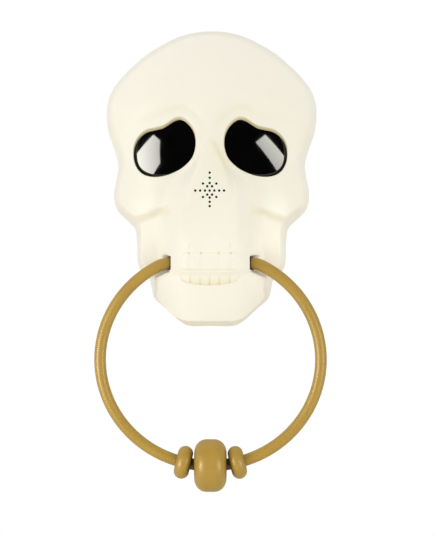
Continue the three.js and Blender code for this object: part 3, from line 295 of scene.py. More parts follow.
RIM = catmull(OUTLINE + [(-x, z) for x, z in OUTLINE[-2:0:-1]], 8)
EYE_RING = catmull(EYE, 14)


def brow_crease(x, z):
    """Shallow fold that follows the upper side of each eye."""
    pts = np.stack([np.abs(x), z], 1)
    away, near = polygon_distance(EYE_RING, pts)
    above = step(0.2, 0.7, (pts - near)[:, 1] / np.maximum(away, 0.01))
    return 0.8 * above * bell(away - 8, 2.6) * (1 - step(42, 52, pts[:, 0]))


def fold_shade(x, z):
    """Painted shade in the face's folds: nose bridge and its right facet, heavier on the right away
    from the key, cheek hollows, brows.
    """
    ax = np.abs(x)
    bridge = bell(x - 8, 14) * bell(z - 70, 17)
    facet = bell(x - 4.1 - 0.5 * (79 - z), 2) * step(88, 82, z) * step(65, 77, z)
    hollow = bell(z - 34.6 + 0.1 * (ax - 32), 2.4) * step(26, 30, ax) * (1 - step(33, 46, ax))
    fold = brow_crease(x, z) * (1 - step(24, 36, ax))
    return 0.13 * bridge + 0.15 * facet + 0.18 * hollow + 0.14 * fold


def skin(x, z):
    """Depth of the shell's outside: the face drawn in by the side walls, teeth and folds."""
    shape = np.shape(x)
    pts = np.stack([np.ravel(x), np.ravel(z)], 1)
    inner = np.abs(polygon_distance(RIM, pts)[0]).reshape(shape)
    slope = mix(JAW_SLOPE, SIDE_SLOPE, step(-36, -18, z))
    slope = mix(slope, CHIN_SLOPE, step(-39, -43, z))
    f = np.maximum(0, smin(face(x, z), slope * inner, rounding(z)))
    return f - mouth(x, z)[0] - brow_crease(x, z)


def eye_plane_fit():
    """Plane that lies nearest to the face along an eye's outline."""
    ring = catmull(EYE, 4)
    off = ring - EYE_CENTRE
    rows = np.stack([np.ones(len(ring)), off[:, 0], off[:, 1]], 1)
    return np.linalg.lstsq(rows, face(ring[:, 0], ring[:, 1], False), rcond=None)[0]


EYE_FIT = eye_plane_fit()


def eye_plane(x, z):
    """Slanted plane through the rim of an eye."""
    ax = np.abs(x)
    return EYE_FIT[0] + EYE_FIT[1] * (ax - EYE_CENTRE[0]) + EYE_FIT[2] * (z - EYE_CENTRE[1])


# Meshes

def piece(name, verts, faces, body, mat, slot, *replaced, sharp=40, painted_shade=None):
    """A new mesh in millimetres, placed in the row frame in metres."""
    mesh = bpy.data.meshes.new(name)
    mesh.from_pydata((np.asarray(verts, float) * MM).tolist(), [], faces)
    mesh.validate()
    mesh.shade_smooth()
    mesh.set_sharp_from_angle(angle=math.radians(sharp))
    # Per-point painted shade, read by the material's painted shade ramp
    if painted_shade is not None:
        shade_layer = mesh.attributes.new("painted_shade", "FLOAT", "POINT")
        shade_layer.data.foreach_set("value", np.asarray(painted_shade, np.float32))
    obj = bpy.data.objects.new(name, mesh)
    bpy.context.scene.collection.objects.link(obj)
    mesh.materials.append(mat)
    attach(obj, body)
    if replaced:
        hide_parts(*replaced)
    return obj


def grid_faces(rows, cols, flip=False):
    """Quads between rows of points that close on themselves."""
    faces = []
    for r in range(rows - 1):
        for c in range(cols):
            d = (c + 1) % cols
            quad = (r * cols + c, r * cols + d, (r + 1) * cols + d, (r + 1) * cols + c)
            faces.append(quad[::-1] if flip else quad)
    return faces


def node_material(name, colour, rough, metallic=0.0, spread=0.05, cloud=18.0, grain=1600.0,
                  bump=0.08, rough_spread=0.06, wear=None, hollow_colour=None, speck=0.0, painted_shade=None,
                  **sockets):
    """Moulded, painted or metal surface: clouded colour, grained roughness and bump, edge wear, a
    colour for concave spots and painted shade.
    """
    mat = bpy.data.materials.new(name)
    mat.use_nodes = True
    tree = mat.node_tree
    nodes, links = tree.nodes, tree.links
    bsdf = nodes["Principled BSDF"]
    bsdf.inputs["Metallic"].default_value = metallic
    for key, value in sockets.items():
        bsdf.inputs[key.replace("_", " ")].default_value = value
    coord = nodes.new("ShaderNodeTexCoord")

    def noise(scale, detail, rough_in=0.55):
        n = nodes.new("ShaderNodeTexNoise")
        n.inputs["Scale"].default_value = scale
        n.inputs["Detail"].default_value = detail
        n.inputs["Roughness"].default_value = rough_in
        links.new(coord.outputs["Object"], n.inputs["Vector"])
        return n.outputs["Fac"]

    def ramp(fac, stops):
        r = nodes.new("ShaderNodeValToRGB")
        r.color_ramp.elements[0].position = stops[0][0]
        r.color_ramp.elements[0].color = stops[0][1]
        r.color_ramp.elements[1].position = stops[-1][0]
        r.color_ramp.elements[1].color = stops[-1][1]
        for pos, col in stops[1:-1]:
            e = r.color_ramp.elements.new(pos)
            e.color = col
        links.new(fac, r.inputs["Fac"])
        return r.outputs["Color"]

    def blend(fac, a, b):
        m = nodes.new("ShaderNodeMix")
        m.data_type = "RGBA"
        links.new(fac, m.inputs["Factor"])
        links.new(a, m.inputs["A"])
        if isinstance(b, tuple):
            m.inputs["B"].default_value = (*b, 1)
        else:
            links.new(b, m.inputs["B"])
        return m.outputs["Result"]

    dark = tuple(c * (1 - spread) for c in colour)
    light = tuple(min(1.0, c * (1 + spread)) for c in colour)
    shade = ramp(noise(cloud, 5), [(0.3, (*dark, 1)), (0.7, (*light, 1))])
    geometry = nodes.new("ShaderNodeNewGeometry")
    # Colour mixed in where the surface is concave, found by Pointiness
    if hollow_colour:
        low = ramp(geometry.outputs["Pointiness"], [(0.40, (1, 1, 1, 1)), (0.49, (0, 0, 0, 1))])
        shade = blend(low, shade, hollow_colour)
    if wear:
        high = ramp(geometry.outputs["Pointiness"], [(0.53, (0, 0, 0, 1)), (0.62, (1, 1, 1, 1))])
        rubbed = nodes.new("ShaderNodeMath")
        rubbed.operation = "MULTIPLY"
        links.new(high, rubbed.inputs[0])
        links.new(noise(260, 4), rubbed.inputs[1])
        shade = blend(rubbed.outputs[0], shade, wear)
    # Painted shade: a per-point attribute mixes in darker tints where hollows, gaps and holes fall
    # in shade
    if painted_shade:
        depth = nodes.new("ShaderNodeAttribute")
        depth.attribute_name = "painted_shade"
        tint = ramp(depth.outputs["Fac"], painted_shade)
        share = ramp(depth.outputs["Fac"], [(0.0, (0, 0, 0, 1)), (0.3, (0.75, 0.75, 0.75, 1)),
                                            (0.6, (1, 1, 1, 1))])
        shade = blend(share, shade, tint)
    if speck:
        dots = ramp(noise(900, 2), [(0.68, (0, 0, 0, 1)), (0.76, (speck, speck, speck, 1))])
        shade = blend(dots, shade, tuple(c * 0.55 for c in colour))
    links.new(shade, bsdf.inputs["Base Color"])

    span = nodes.new("ShaderNodeMapRange")
    span.inputs["From Min"].default_value = 0.3
    span.inputs["From Max"].default_value = 0.7
    span.inputs["To Min"].default_value = max(0.02, rough - rough_spread)
    span.inputs["To Max"].default_value = min(1.0, rough + rough_spread)
    links.new(noise(grain * 0.05, 6), span.inputs["Value"])
    links.new(span.outputs["Result"], bsdf.inputs["Roughness"])

    if bump:
        b = nodes.new("ShaderNodeBump")
        b.inputs["Strength"].default_value = bump
        b.inputs["Distance"].default_value = 0.0003
        links.new(noise(grain, 3), b.inputs["Height"])
        links.new(b.outputs["Normal"], bsdf.inputs["Normal"])
    return mat


# The bone's painted shade ramp: yellowish, then near black as the per-point painted shade grows
BONE = node_material("bone_plastic", (0.903, 0.866, 0.747), 0.5, spread=0.012, cloud=14, bump=0.05,
                     painted_shade=[(0.0, (0.88, 0.80, 0.58, 1)), (0.35, (0.80, 0.70, 0.38, 1)),
                              (0.7, (0.16, 0.12, 0.06, 1)), (1.0, (0.01, 0.009, 0.008, 1))],
                     Subsurface_Weight=0.12, Subsurface_Scale=0.004, Specular_IOR_Level=0.35)
# The gold's painted shade ramp: darker brown to near black as the per-point painted shade grows
GOLD = node_material("gold_plastic", (0.315, 0.197, 0.0245), 0.42, spread=0.03,
                     cloud=60, bump=0.006, rough_spread=0.03, speck=0.04,
                     painted_shade=[(0.0, (0.30, 0.19, 0.026, 1)), (0.35, (0.16, 0.1, 0.012, 1)),
                              (0.7, (0.06, 0.036, 0.006, 1)), (1.0, (0.014, 0.009, 0.003, 1))],
                     Specular_IOR_Level=0.9, Specular_Tint=(1, 0.76, 0.6, 1))
LENS = node_material("lens_plastic", (0.0007, 0.0007, 0.0007), 0.05, spread=0.3, bump=0.0,
                     rough_spread=0.02, cloud=40, IOR=1.8)
WHITE = node_material("white_plastic", (0.82, 0.83, 0.84), 0.3, spread=0.03, bump=0.04)
LED = node_material("led_epoxy", (0.85, 0.88, 0.95), 0.12, spread=0.04, bump=0.02)
SCREW = node_material("screw_steel", (0.52, 0.53, 0.55), 0.34, metallic=1.0, spread=0.10, cloud=300,
                      bump=0.08, wear=(0.75, 0.75, 0.76), hollow_colour=(0.18, 0.17, 0.16))
STEEL = node_material("steel", (0.50, 0.51, 0.53), 0.36, metallic=1.0, spread=0.10, cloud=120,
                      bump=0.08, wear=(0.72, 0.72, 0.73))
NYLON = node_material("nylon", (0.74, 0.71, 0.62), 0.5, spread=0.04, bump=0.06)
DARK = node_material("dark_plastic", (0.018, 0.018, 0.020), 0.5, spread=0.25, bump=0.12,
                     wear=(0.09, 0.09, 0.09))
FERRITE = node_material("ferrite", (0.03, 0.03, 0.032), 0.65, spread=0.3, bump=0.3, cloud=200)
PAPER = node_material("cone_paper", (0.009, 0.005, 0.002), 0.9, spread=0.3, bump=0.4, cloud=300)
BOARD = node_material("board", (0.035, 0.16, 0.07), 0.42, spread=0.2, bump=0.1, cloud=220)
CELL = node_material("cell_jacket", (0.07, 0.085, 0.10), 0.32, metallic=0.3, spread=0.12, cloud=80,
                     bump=0.04, wear=(0.3, 0.31, 0.32))
BRASS = node_material("brass", (0.62, 0.44, 0.14), 0.3, metallic=1.0, spread=0.12, cloud=150,
                      bump=0.06, wear=(0.8, 0.65, 0.3))
MATERIALS = {
    "bone_plastic": BONE, "gold_plastic": GOLD, "lens_plastic": LENS, "white_plastic": WHITE,
    "led_epoxy": LED, "screw_steel": SCREW, "steel": STEEL, "nylon": NYLON, "dark_plastic": DARK,
    "ferrite": FERRITE, "cone_paper": PAPER, "board": BOARD, "cell_jacket": CELL, "brass": BRASS}
NODE_SLOT = {s["node"]: s["material_slot"] for s in frame["record"]["subparts"]}
for node_name, node in frame["nodes"].items():
    node.data.materials.clear()
    node.data.materials.append(MATERIALS[NODE_SLOT[node_name]])


# Skull shell: spokes from the rim to the grille's middle hole, cut at each opening

def eye_mouth():
    """Outer edge of an eye hole: the lens outline moved out, most along its upper side."""
    out = grown(EYE_RING, 1.0) - EYE_RING
    return EYE_RING + out * (0.4 + 1.9 * np.maximum(out[:, 1:], 0))


def hole_outlines():
    """Outline and kind of each opening: eyes, star of speaker holes, mouth slots."""
    eye = eye_mouth()
    holes = [(eye, "eye"), (eye * [-1, 1], "eye")]
    t = np.linspace(0, 2 * np.pi, 24, endpoint=False)
    round_hole = np.stack([np.cos(t), np.sin(t)], 1) * HOLE_RADIUS
    spots = [(0, 0)]
    for up, down in HOLES_UPRIGHT:
        spots += [(0, up), (0, -down)]
    for x in HOLES_ACROSS:
        spots += [(x, 0), (-x, 0)]
    for x, up, down in HOLES_SLANTED:
        spots += [(x, up), (-x, up), (x, -down), (-x, -down)]
    for x, z in spots:
        holes.append((round_hole + [x, SPEAKER_Z + z], "grille"))
    corners = []
    for i, (x, z) in enumerate(SLOT_CORNERS):
        for a in np.radians(90 * i + np.linspace(0, 90, 8)):
            corners.append((x + math.cos(a), z + math.sin(a)))
    slot = np.array(corners)
    return holes + [(slot, "slot"), (slot * [-1, 1], "slot")]


def spoke_ends(count):
    """Points along the rim, closer together round the jaw, the same on both sides."""
    fine = catmull(OUTLINE + [(-x, z) for x, z in OUTLINE[-2:0:-1]], 60)
    right = fine[:(len(OUTLINE) - 1) * 60 + 1]
    length = np.linalg.norm(np.diff(right, axis=0), axis=1)
    mid = (right[1:, 1] + right[:-1, 1]) / 2
    weight = np.concatenate([[0], np.cumsum(length * (1 + 1.7 * step(-8, -24, mid)))])
    at = np.linspace(0, weight[-1], count + 1)
    half = np.stack([np.interp(at, weight, right[:, k]) for k in range(2)], 1)
    half[0, 0] = half[-1, 0] = 0
    return np.concatenate([half, half[-2:0:-1] * [-1, 1]])


def cover_edge():
    """Outer edge of the back cover in the door plane, in order round the grille."""
    p = np.array([v.co for v in frame["nodes"]["back_cover"].data.vertices]) / MM
    p = p[np.abs(p[:, 1]) < 0.05][:, [0, 2]]
    p = np.unique(p[polygon_distance(RIM, p)[0] > -2 * WALL].round(3), axis=0)
    return p[np.argsort(np.arctan2(p[:, 1] - SPEAKER_Z, p[:, 0]))]


def nearest_openings(flat, holes):
    """Signed distance of each point to the nearest opening, which one, and its nearest point."""
    far = np.full(len(flat), 1e3)
    owner = np.full(len(flat), -1)
    nearest = flat.copy()
    for h, (poly, _) in enumerate(holes):
        lo, hi = poly.min(0) - 2.5, poly.max(0) + 2.5
        pick = np.where(((flat > lo) & (flat < hi)).all(1))[0]
        d, near = polygon_distance(poly, flat[pick])
        better = d < far[pick]
        pick = pick[better]
        far[pick], owner[pick], nearest[pick] = d[better], h, near[better]
    return far, owner, nearest


def cut_grid(ends, holes):
    """Polar grid without its openings: points, faces, and the opening of each point on an edge."""
    n = len(ends)
    centre = np.array([0, SPEAKER_Z])
    s = np.concatenate([
        np.arange(0, 0.28, 0.0056), np.arange(0.28, 0.585, 0.0031),
        np.arange(0.585, 0.80, 0.0056), np.arange(0.80, 0.9935, 0.0037), [0.9955]])
    m = len(s)
    flat = (ends[None] * (1 - s)[:, None, None] + centre * s[:, None, None]).reshape(-1, 2)
    far, owner, nearest = nearest_openings(flat, holes)

    # Points close to an opening move onto its edge, so that no cut leaves a sliver
    grid = np.arange(n * m).reshape(m, n)
    reach = np.full(len(flat), 1e9)
    for a, b in [(grid, np.roll(grid, -1, 1)), (grid[:-1], grid[1:])]:
        size = np.linalg.norm(flat[a.ravel()] - flat[b.ravel()], axis=1)
        np.minimum.at(reach, a.ravel(), size)
        np.minimum.at(reach, b.ravel(), size)
    snap = np.abs(far) < 0.2 * reach
    flat[snap] = nearest[snap]
    far[snap] = 0
    edge_of = {int(v): int(owner[v]) for v in np.where(snap)[0]}

    points = [tuple(p) for p in flat]
    crossing = {}

    def cross(a, b):
        """Point where the edge between two grid points meets an opening."""
        key = (min(a, b), max(a, b))
        if key not in crossing:
            t = far[a] / (far[a] - far[b])
            points.append(tuple(flat[a] + (flat[b] - flat[a]) * t))
            crossing[key] = len(points) - 1
            edge_of[len(points) - 1] = int(owner[a] if abs(far[a]) < abs(far[b]) else owner[b])
        return crossing[key]

    right = np.roll(grid, -1, 1)
    quads = np.stack([grid[:-1], grid[1:], right[1:], right[:-1]], -1).reshape(-1, 4)
    sign = far[quads]
    whole = (sign >= 0).all(1) & ~(sign == 0).all(1)
    faces = [tuple(map(int, q)) for q in quads[whole]]
    for q in quads[(sign < 0).any(1) & (sign > 0).any(1)]:
        ring = []
        for k in range(4):
            a, b = int(q[k]), int(q[(k + 1) % 4])
            if far[a] >= 0:
                ring.append(a)
            if far[a] * far[b] < 0:
                ring.append(cross(a, b))
        if len(ring) > 2:
            faces.append(tuple(ring))
    return np.array(points), faces, edge_of


def border_loops(faces, edge_of):
    """Points round each opening, in order."""
    single = {}
    for f in faces:
        for k in range(len(f)):
            a, b = f[k], f[(k + 1) % len(f)]
            key = (min(a, b), max(a, b))
            single[key] = None if key in single else (a, b)
    follow = {}
    for pair in single.values():
        if pair and pair[0] in edge_of and pair[1] in edge_of:
            follow[pair[1]] = pair[0]
    loops = []
    while follow:
        first = next(iter(follow))
        loop = [first]
        following = follow.pop(first)
        while following != first and following in follow:
            loop.append(following)
            following = follow.pop(following)
        if len(loop) >= 6:
            loops.append(loop)
    return loops


def eye_walls(base):
    """Rings of an eye hole: over its rounded edge, then back beside the lens, with painted shade.
    """
    side = 1 if base[:, 0].mean() > 0 else -1
    inward = polygon_distance(EYE_RING * [side, 1], base)[1] - base
    upper = np.maximum(-inward[:, 1] / np.linalg.norm(inward, axis=1), 0)
    # Painted shade: on the rounded edge it grows towards the upper side, which faces down; deeper
    # on the wall it darkens to near black
    share = 0.25 + 0.75 * upper
    for shift, drop, shade in [(0.08, 0.1, 0.05), (0.2, 0.35, 0.12), (0.3, 0.8, 0.3)]:
        at = base + inward * shift
        yield at, skin(at[:, 0], at[:, 1]) - drop, shade * share
    for shift, drop, shade in [(1.0, 2.6, 0.7 - 0.34 * upper), (1.02, 4.5, 0.5), (1.04, 6.6, 0.8)]:
        at = base + inward * shift
        yield at, eye_plane(at[:, 0], at[:, 1]) - drop, shade


# Edge radius and the painted shade on it, then (inward, back, painted shade) of the wall behind it
STRAIGHT_WALLS = {"slot": (0.5, 0.1, [(0.5, 0.9, 0.45), (0.5, 2.6, 0.85)]),
                  "grille": (0.07, 0.8, [(0.08, 0.35, 1.0), (0.1, 2.6, 1.0)])}


def straight_walls(kind, poly, base, depth):
    """Rings of a mouth slot or a speaker hole: over its rounded edge, then straight back, with
    painted shade growing inward.
    """
    inward = -outward_normals(poly, base)
    radius, tint, wall = STRAIGHT_WALLS[kind]
    turn = np.radians([30, 60, 90])
    rings = [(radius * math.sin(a), radius * (1 - math.cos(a)), tint) for a in turn]
    for shift, drop, shade in rings + wall:
        yield base + inward * shift, depth - drop, shade


def skull_mesh():
    """Shell with walls into its openings and a flat back edge: points, faces and painted shade."""
    ends = spoke_ends(210)
    holes = hole_outlines()
    flat, faces, edge_of = cut_grid(ends, holes)
    depth = skin(flat[:, 0], flat[:, 1])
    depth[:len(ends)] = 0
    verts = [(x, -d, z) for (x, z), d in zip(flat, depth)]
    # Painted shade of the teeth and the face's folds at each point
    painted_shade = list(mouth(flat[:, 0], flat[:, 1])[1] + fold_shade(flat[:, 0], flat[:, 1]))

    def add_ring(last, at, d, shade):
        """New points joined to the last ring."""
        n = len(last)
        row = list(range(len(verts), len(verts) + n))
        verts.extend((x, -y, z) for (x, z), y in zip(at, np.broadcast_to(d, n)))
        painted_shade.extend(np.broadcast_to(shade, n))
        for k in range(n):
            j = (k + 1) % n
            faces.append((last[k], last[j], row[j], row[k]))
        return row

    for loop in border_loops(faces, edge_of):
        poly, kind = holes[edge_of[loop[0]]]
        base = flat[loop]
        last = loop
        for ring in (eye_walls(base) if kind == "eye"
                     else straight_walls(kind, poly, base, depth[loop])):
            last = add_ring(last, *ring)

    # Flat back edge of the shell and the start of its inner wall, all round the back cover
    last = list(range(len(ends)))
    out = grown(ends, 1) - ends
    seat = polygon_distance(cover_edge(), grown(ends, -WALL))[1]
    for gap, d in [(COVER_GAP + 0.15, 0.0), (COVER_GAP, 0.15), (COVER_GAP, 7.0)]:
        last = add_ring(last, seat + out * gap, d, 0.0)
    used = sorted({v for f in faces for v in f})
    renumber = {v: i for i, v in enumerate(used)}
    return ([verts[v] for v in used], [tuple(renumber[v] for v in f) for f in faces],
            [painted_shade[v] for v in used])


skull_verts, skull_faces, skull_painted_shade = skull_mesh()
skull = piece("skull_shell_form", skull_verts, skull_faces, "housing", BONE, "bone_plastic",
              "skull_shell", sharp=55, painted_shade=skull_painted_shade)


# Eye lenses

def lens_mesh(side):
    """Domed lens with a flange, seated on the plane of its eye."""
    ring = grown(EYE_RING, -LENS_GAP) * [side, 1]
    flange = grown(EYE_RING, FLANGE_OUT) * [side, 1]
    centre = EYE_CENTRE * [side, 1]
    rows = []
    for p, back in [(flange, LENS_BACK), (flange, LENS_SEAT), (ring, LENS_SEAT), (ring, LENS_STEP)]:
        rows.append(np.stack([p[:, 0], back - eye_plane(p[:, 0], p[:, 1]), p[:, 1]], 1))
    for v in np.concatenate([[0, 0.012, 0.03, 0.055], np.linspace(0.09, 0.985, 24)]):
        p = ring * (1 - v) + centre * v
        back = LENS_SINK - LENS_DOME * (1 - (((p - centre) / LENS_SPREAD) ** 2).sum(1))
        rows.append(np.stack([p[:, 0], back - eye_plane(p[:, 0], p[:, 1]), p[:, 1]], 1))
    n = len(ring)
    faces = grid_faces(len(rows), n, flip=side < 0)
    d = eye_plane(centre[0], centre[1])
    tip = (centre[0], LENS_SINK - LENS_DOME - d, centre[1])
    back = (centre[0], LENS_BACK - d, centre[1])
    verts = np.concatenate(rows + [[tip, back]])
    top = (len(rows) - 1) * n
    for c in range(n):
        e = (c + 1) % n
        tri = (top + c, top + e, len(verts) - 2)
        low = (e, c, len(verts) - 1)
        faces.append(tri if side > 0 else tri[::-1])
        faces.append(low if side > 0 else low[::-1])
    return verts, faces


for side, word in SIDES:
    verts, faces = lens_mesh(side)
    piece(f"eye_lens_{word}_dome", verts, faces, "housing", LENS, "lens_plastic",
          f"eye_lens_{word}", sharp=50)


# Knocker ring and beads

ring_z = -RING_HALF_HEIGHT * math.sqrt(1 - (SLOT_X / RING_HALF_WIDTH) ** 2)


def oval(t):
    """Point of the ring at an angle from its top."""
    return np.array([RING_HALF_WIDTH * math.sin(t), ring_z + RING_HALF_HEIGHT * math.cos(t)])


def knocker_path():
    """Middle line of the bar: journal, bend out of the mouth slot, oval, and back."""
    bend = math.asin((SLOT_X + 6.5) / RING_HALF_WIDTH)
    end = oval(bend)
    slope = np.array([RING_HALF_WIDTH * math.cos(bend), -RING_HALF_HEIGHT * math.sin(bend)])
    slope /= np.linalg.norm(slope)
    start = np.array([SLOT_X - 7, 0.0])
    p = [start, start + [1.5, 0], end - 4.5 * slope, end]
    half = [np.array([x, 0.0]) for x in (JOURNAL_IN, JOURNAL_IN + 0.4, 18, 21)]
    for t in np.linspace(0, 1, 31):
        w = [(1 - t) ** 3, 3 * t * (1 - t) ** 2, 3 * t * t * (1 - t), t ** 3]
        half.append(sum(wi * pi for wi, pi in zip(w, p)))
    for t in np.linspace(bend, math.pi, 130)[1:]:
        half.append(oval(t))
    half = np.array(half)
    return np.concatenate([half, half[-2::-1] * [-1, 1]])


def swept(path, radius, sides):
    """Round bar along a path in the ring's plane, with softened closed ends."""
    tangent = np.gradient(path, axis=0)
    tangent /= np.linalg.norm(tangent, axis=1)[:, None]
    normal = np.stack([-tangent[:, 1], tangent[:, 0]], 1)
    t = np.linspace(0, 2 * np.pi, sides, endpoint=False)
    verts = []
    for i, (p, n) in enumerate(zip(path, normal)):
        r = radius - (0.4 if i in (0, len(path) - 1) else 0)
        u = r * np.cos(t)
        verts.append(np.stack([p[0] + n[0] * u, -HINGE_DEPTH + r * np.sin(t), p[1] + n[1] * u], 1))
    verts = np.concatenate(verts)
    faces = grid_faces(len(path), sides, flip=True)
    faces.append(tuple(range(sides)))
    faces.append(tuple(range(len(verts) - 1, len(verts) - sides - 1, -1)))
    return verts, faces


def bar_painted_shade(verts):
    """Painted shade where the bar enters the muzzle and where it passes between the beads."""
    ax = np.abs(verts[:, 0])
    top = verts[:, 2] > ring_z
    entry = np.maximum(0.95 * (1 - step(28.0, 29.0, ax)), 0.2 * (1 - step(28.5, 33, ax)))
    between = np.maximum(0.75 * (1 - step(14, 18, ax)), 0.22 * (1 - step(22, 27, ax)))
    return np.where(top, entry, between)


verts, faces = swept(knocker_path(), BAR_RADIUS, 36)
KNOCKER = [piece("knocker_ring_bar", verts, faces, "knocker", GOLD, "gold_plastic", "knocker_ring",
                 painted_shade=bar_painted_shade(verts))]


def turned(profile, sides):
    """Body of revolution about +Z from (radius, height) pairs; a closed profile leaves a bore."""
    profile = np.array(profile, float)
    t = np.linspace(0, 2 * np.pi, sides, endpoint=False)
    verts = []
    for r, h in profile:
        verts.append(np.stack([r * np.cos(t), r * np.sin(t), np.full(sides, h)], 1))
    rows = len(profile)
    verts = np.concatenate(verts)
    faces = grid_faces(rows, sides)
    last = (rows - 1) * sides
    for c in range(sides):
        d = (c + 1) % sides
        faces.append((last + c, last + d, d, c))
    return verts, faces


def bead_profile(radius, half, flat, straight=0, power=2):
    """Rounded bead with a bore: flat ends, full corners and a straight middle."""
    end = [(BEAD_BORE, half - 0.4), (BEAD_BORE + 0.4, half)]
    for a in np.radians(np.linspace(0, 90, 22)):
        out = max(math.sin(a), 0) ** (2 / power)
        up = max(math.cos(a), 0) ** (2 / power)
        end.append((flat + (radius - flat) * out, straight + (half - straight) * up))
    low = [(r, -h) for r, h in end]
    if straight == 0:
        return low[:-1] + end[::-1]
    return low + [(radius, 0)] + end[::-1]


def placed(verts, axis, at):
    """Turns +Z onto a direction in the plane of the ring and moves the body there."""
    a = np.array([axis[0], 0, axis[1]], float)
    a /= np.linalg.norm(a)
    y = np.array([0, 1.0, 0])
    x = np.cross(y, a)
    m = np.stack([x, y, a], 1)
    return verts @ m.T + np.array([at[0], -HINGE_DEPTH, at[1]])


bead_z = ring_z - RING_HALF_HEIGHT
verts, faces = turned(bead_profile(BEAD_RADIUS, BEAD_HALF, flat=8.5, straight=2.4, power=2.15), 72)
# Painted shade on the bead's end faces round the bore, where the side beads and the bar shade it
bead_shade = 0.55 * (1 - step(7, 15, np.hypot(verts[:, 0], verts[:, 1])))
KNOCKER.append(piece("knocker_bead_barrel", placed(verts, (1, 0), (0, bead_z)), faces, "knocker",
                     GOLD, "gold_plastic", "knocker_bead", painted_shade=bead_shade))
for side, word in SIDES:
    t = math.pi - math.asin(SIDE_BEAD_X / RING_HALF_WIDTH)
    spot = oval(t)
    along = np.array([-RING_HALF_WIDTH * math.cos(t), RING_HALF_HEIGHT * math.sin(t)])
    verts, faces = turned(bead_profile(SIDE_BEAD_RADIUS, SIDE_BEAD_HALF, flat=6.5), 56)
    # Painted shade round the bore, heavier on the face towards the middle bead
    inner = np.where(verts[:, 2] < 0, 0.75, 0.25)
    bead_shade = inner * (1 - step(6, 12, np.hypot(verts[:, 0], verts[:, 1])))
    KNOCKER.append(piece(f"knocker_side_bead_{word}_disc",
                         placed(verts, along * [side, 1], spot * [side, 1]), faces,
                         "knocker", GOLD, "gold_plastic", f"knocker_side_bead_{word}",
                         painted_shade=bead_shade))


# Back: softened copies of moulded pieces, and screws with a cross recess

def softened(node, name, body, mat):
    """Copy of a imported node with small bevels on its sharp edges."""
    mesh = bpy.data.meshes.new(name)
    bm = bmesh.new()
    bm.from_mesh(frame["nodes"][node].data)
    bmesh.ops.remove_doubles(bm, verts=bm.verts, dist=0.000008)
    bmesh.ops.dissolve_limit(bm, angle_limit=math.radians(0.6), verts=bm.verts, edges=bm.edges)
    bm.to_mesh(mesh)
    bm.free()
    extra = mesh.attributes.get("custom_normal")
    if extra:
        mesh.attributes.remove(extra)
    mesh.materials.clear()
    mesh.materials.append(mat)
    obj = bpy.data.objects.new(name, mesh)
    bpy.context.scene.collection.objects.link(obj)
    bevel = obj.modifiers.new("edge", "BEVEL")
    bevel.width = EDGE_WIDTH * MM
    bevel.segments = 2
    bevel.limit_method = "ANGLE"
    bevel.angle_limit = math.radians(40)
    bevel.use_clamp_overlap = True
    mesh.shade_smooth()
    mesh.set_sharp_from_angle(angle=math.radians(35))
    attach(obj, body)
    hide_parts(node)


softened("back_cover", "back_cover_plate", "housing", BONE)
softened("battery_door", "battery_door_lid", "battery_door", BONE)


def screw_mesh(x, z, seat, radius, height, length, shank=1.4):
    """Pan head with a cross recess facing the back (+Y)."""
    sides = 40
    t = np.linspace(0, 2 * np.pi, sides, endpoint=False)
    edge = 0.15
    profile = [(shank, -length), (shank, -edge), (shank + edge, 0), (radius - edge, 0),
               (radius, edge)]
    for a in np.radians(np.linspace(20, 75, 7)):
        profile.append((radius * (0.62 + 0.38 * math.cos(a)), edge + (height - edge) * math.sin(a)))
    verts = []
    for r, h in profile:
        verts += [(r * math.cos(a), r * math.sin(a), h) for a in t]
    faces = grid_faces(len(profile), sides)
    faces.append(tuple(range(sides - 1, -1, -1)))
    top = profile[-1][1]
    rim = len(verts) - sides
    arm, half = radius * 0.5, radius * 0.13
    cross = [(arm, -half), (arm, half), (half, half), (half, arm), (-half, arm), (-half, half),
             (-arm, half), (-arm, -half), (-half, -half), (-half, -arm), (half, -arm),
             (half, -half)]
    corners = len(cross)
    lip_at = len(verts)
    verts += [(a, b, top + 0.02) for a, b in cross]
    loops = [[Vector(verts[rim + c]) for c in range(sides)],
             [Vector(verts[lip_at + c]) for c in range(corners)]]
    index = [rim + c for c in range(sides)] + [lip_at + c for c in range(corners)]
    for tri in tessellate_polygon(loops):
        a, b, c = (index[k] for k in tri)
        p, q, r = (np.array(verts[k]) for k in (a, b, c))
        up = np.cross(q - p, r - p)[2]
        faces.append((a, b, c) if up > 0 else (a, c, b))
    floor = len(verts)
    verts += [(a * 0.8, b * 0.8, top - height * 0.6) for a, b in cross]
    for c in range(corners):
        d = (c + 1) % corners
        faces.append((lip_at + d, lip_at + c, floor + c, floor + d))
    faces.append(tuple(range(floor, floor + corners)))
    v = np.array(verts)
    turn = 0.5 + 0.7 * math.sin(x * 3 + z)
    rx = v[:, 0] * math.cos(turn) - v[:, 1] * math.sin(turn)
    rz = v[:, 0] * math.sin(turn) + v[:, 1] * math.cos(turn)
    placed_verts = np.stack([x + rx, -seat + v[:, 2], z + rz], 1)
    return placed_verts, [f[::-1] for f in faces]


for i, (x, z) in enumerate(CASE_SCREWS):
    verts, faces = screw_mesh(x, z, seat=2.1, radius=2.9, height=1.7, length=8)
    piece(f"case_screw_{i + 1}_head", verts, faces, "housing", SCREW, "screw_steel",
          f"case_screw_{i + 1}", sharp=35)
verts, faces = screw_mesh(*DOOR_SCREW, seat=1.9, radius=2.5, height=1.4, length=3.6)
piece("battery_door_screw_head", verts, faces, "battery_door", SCREW, "screw_steel",
      "battery_door_screw", sharp=35)


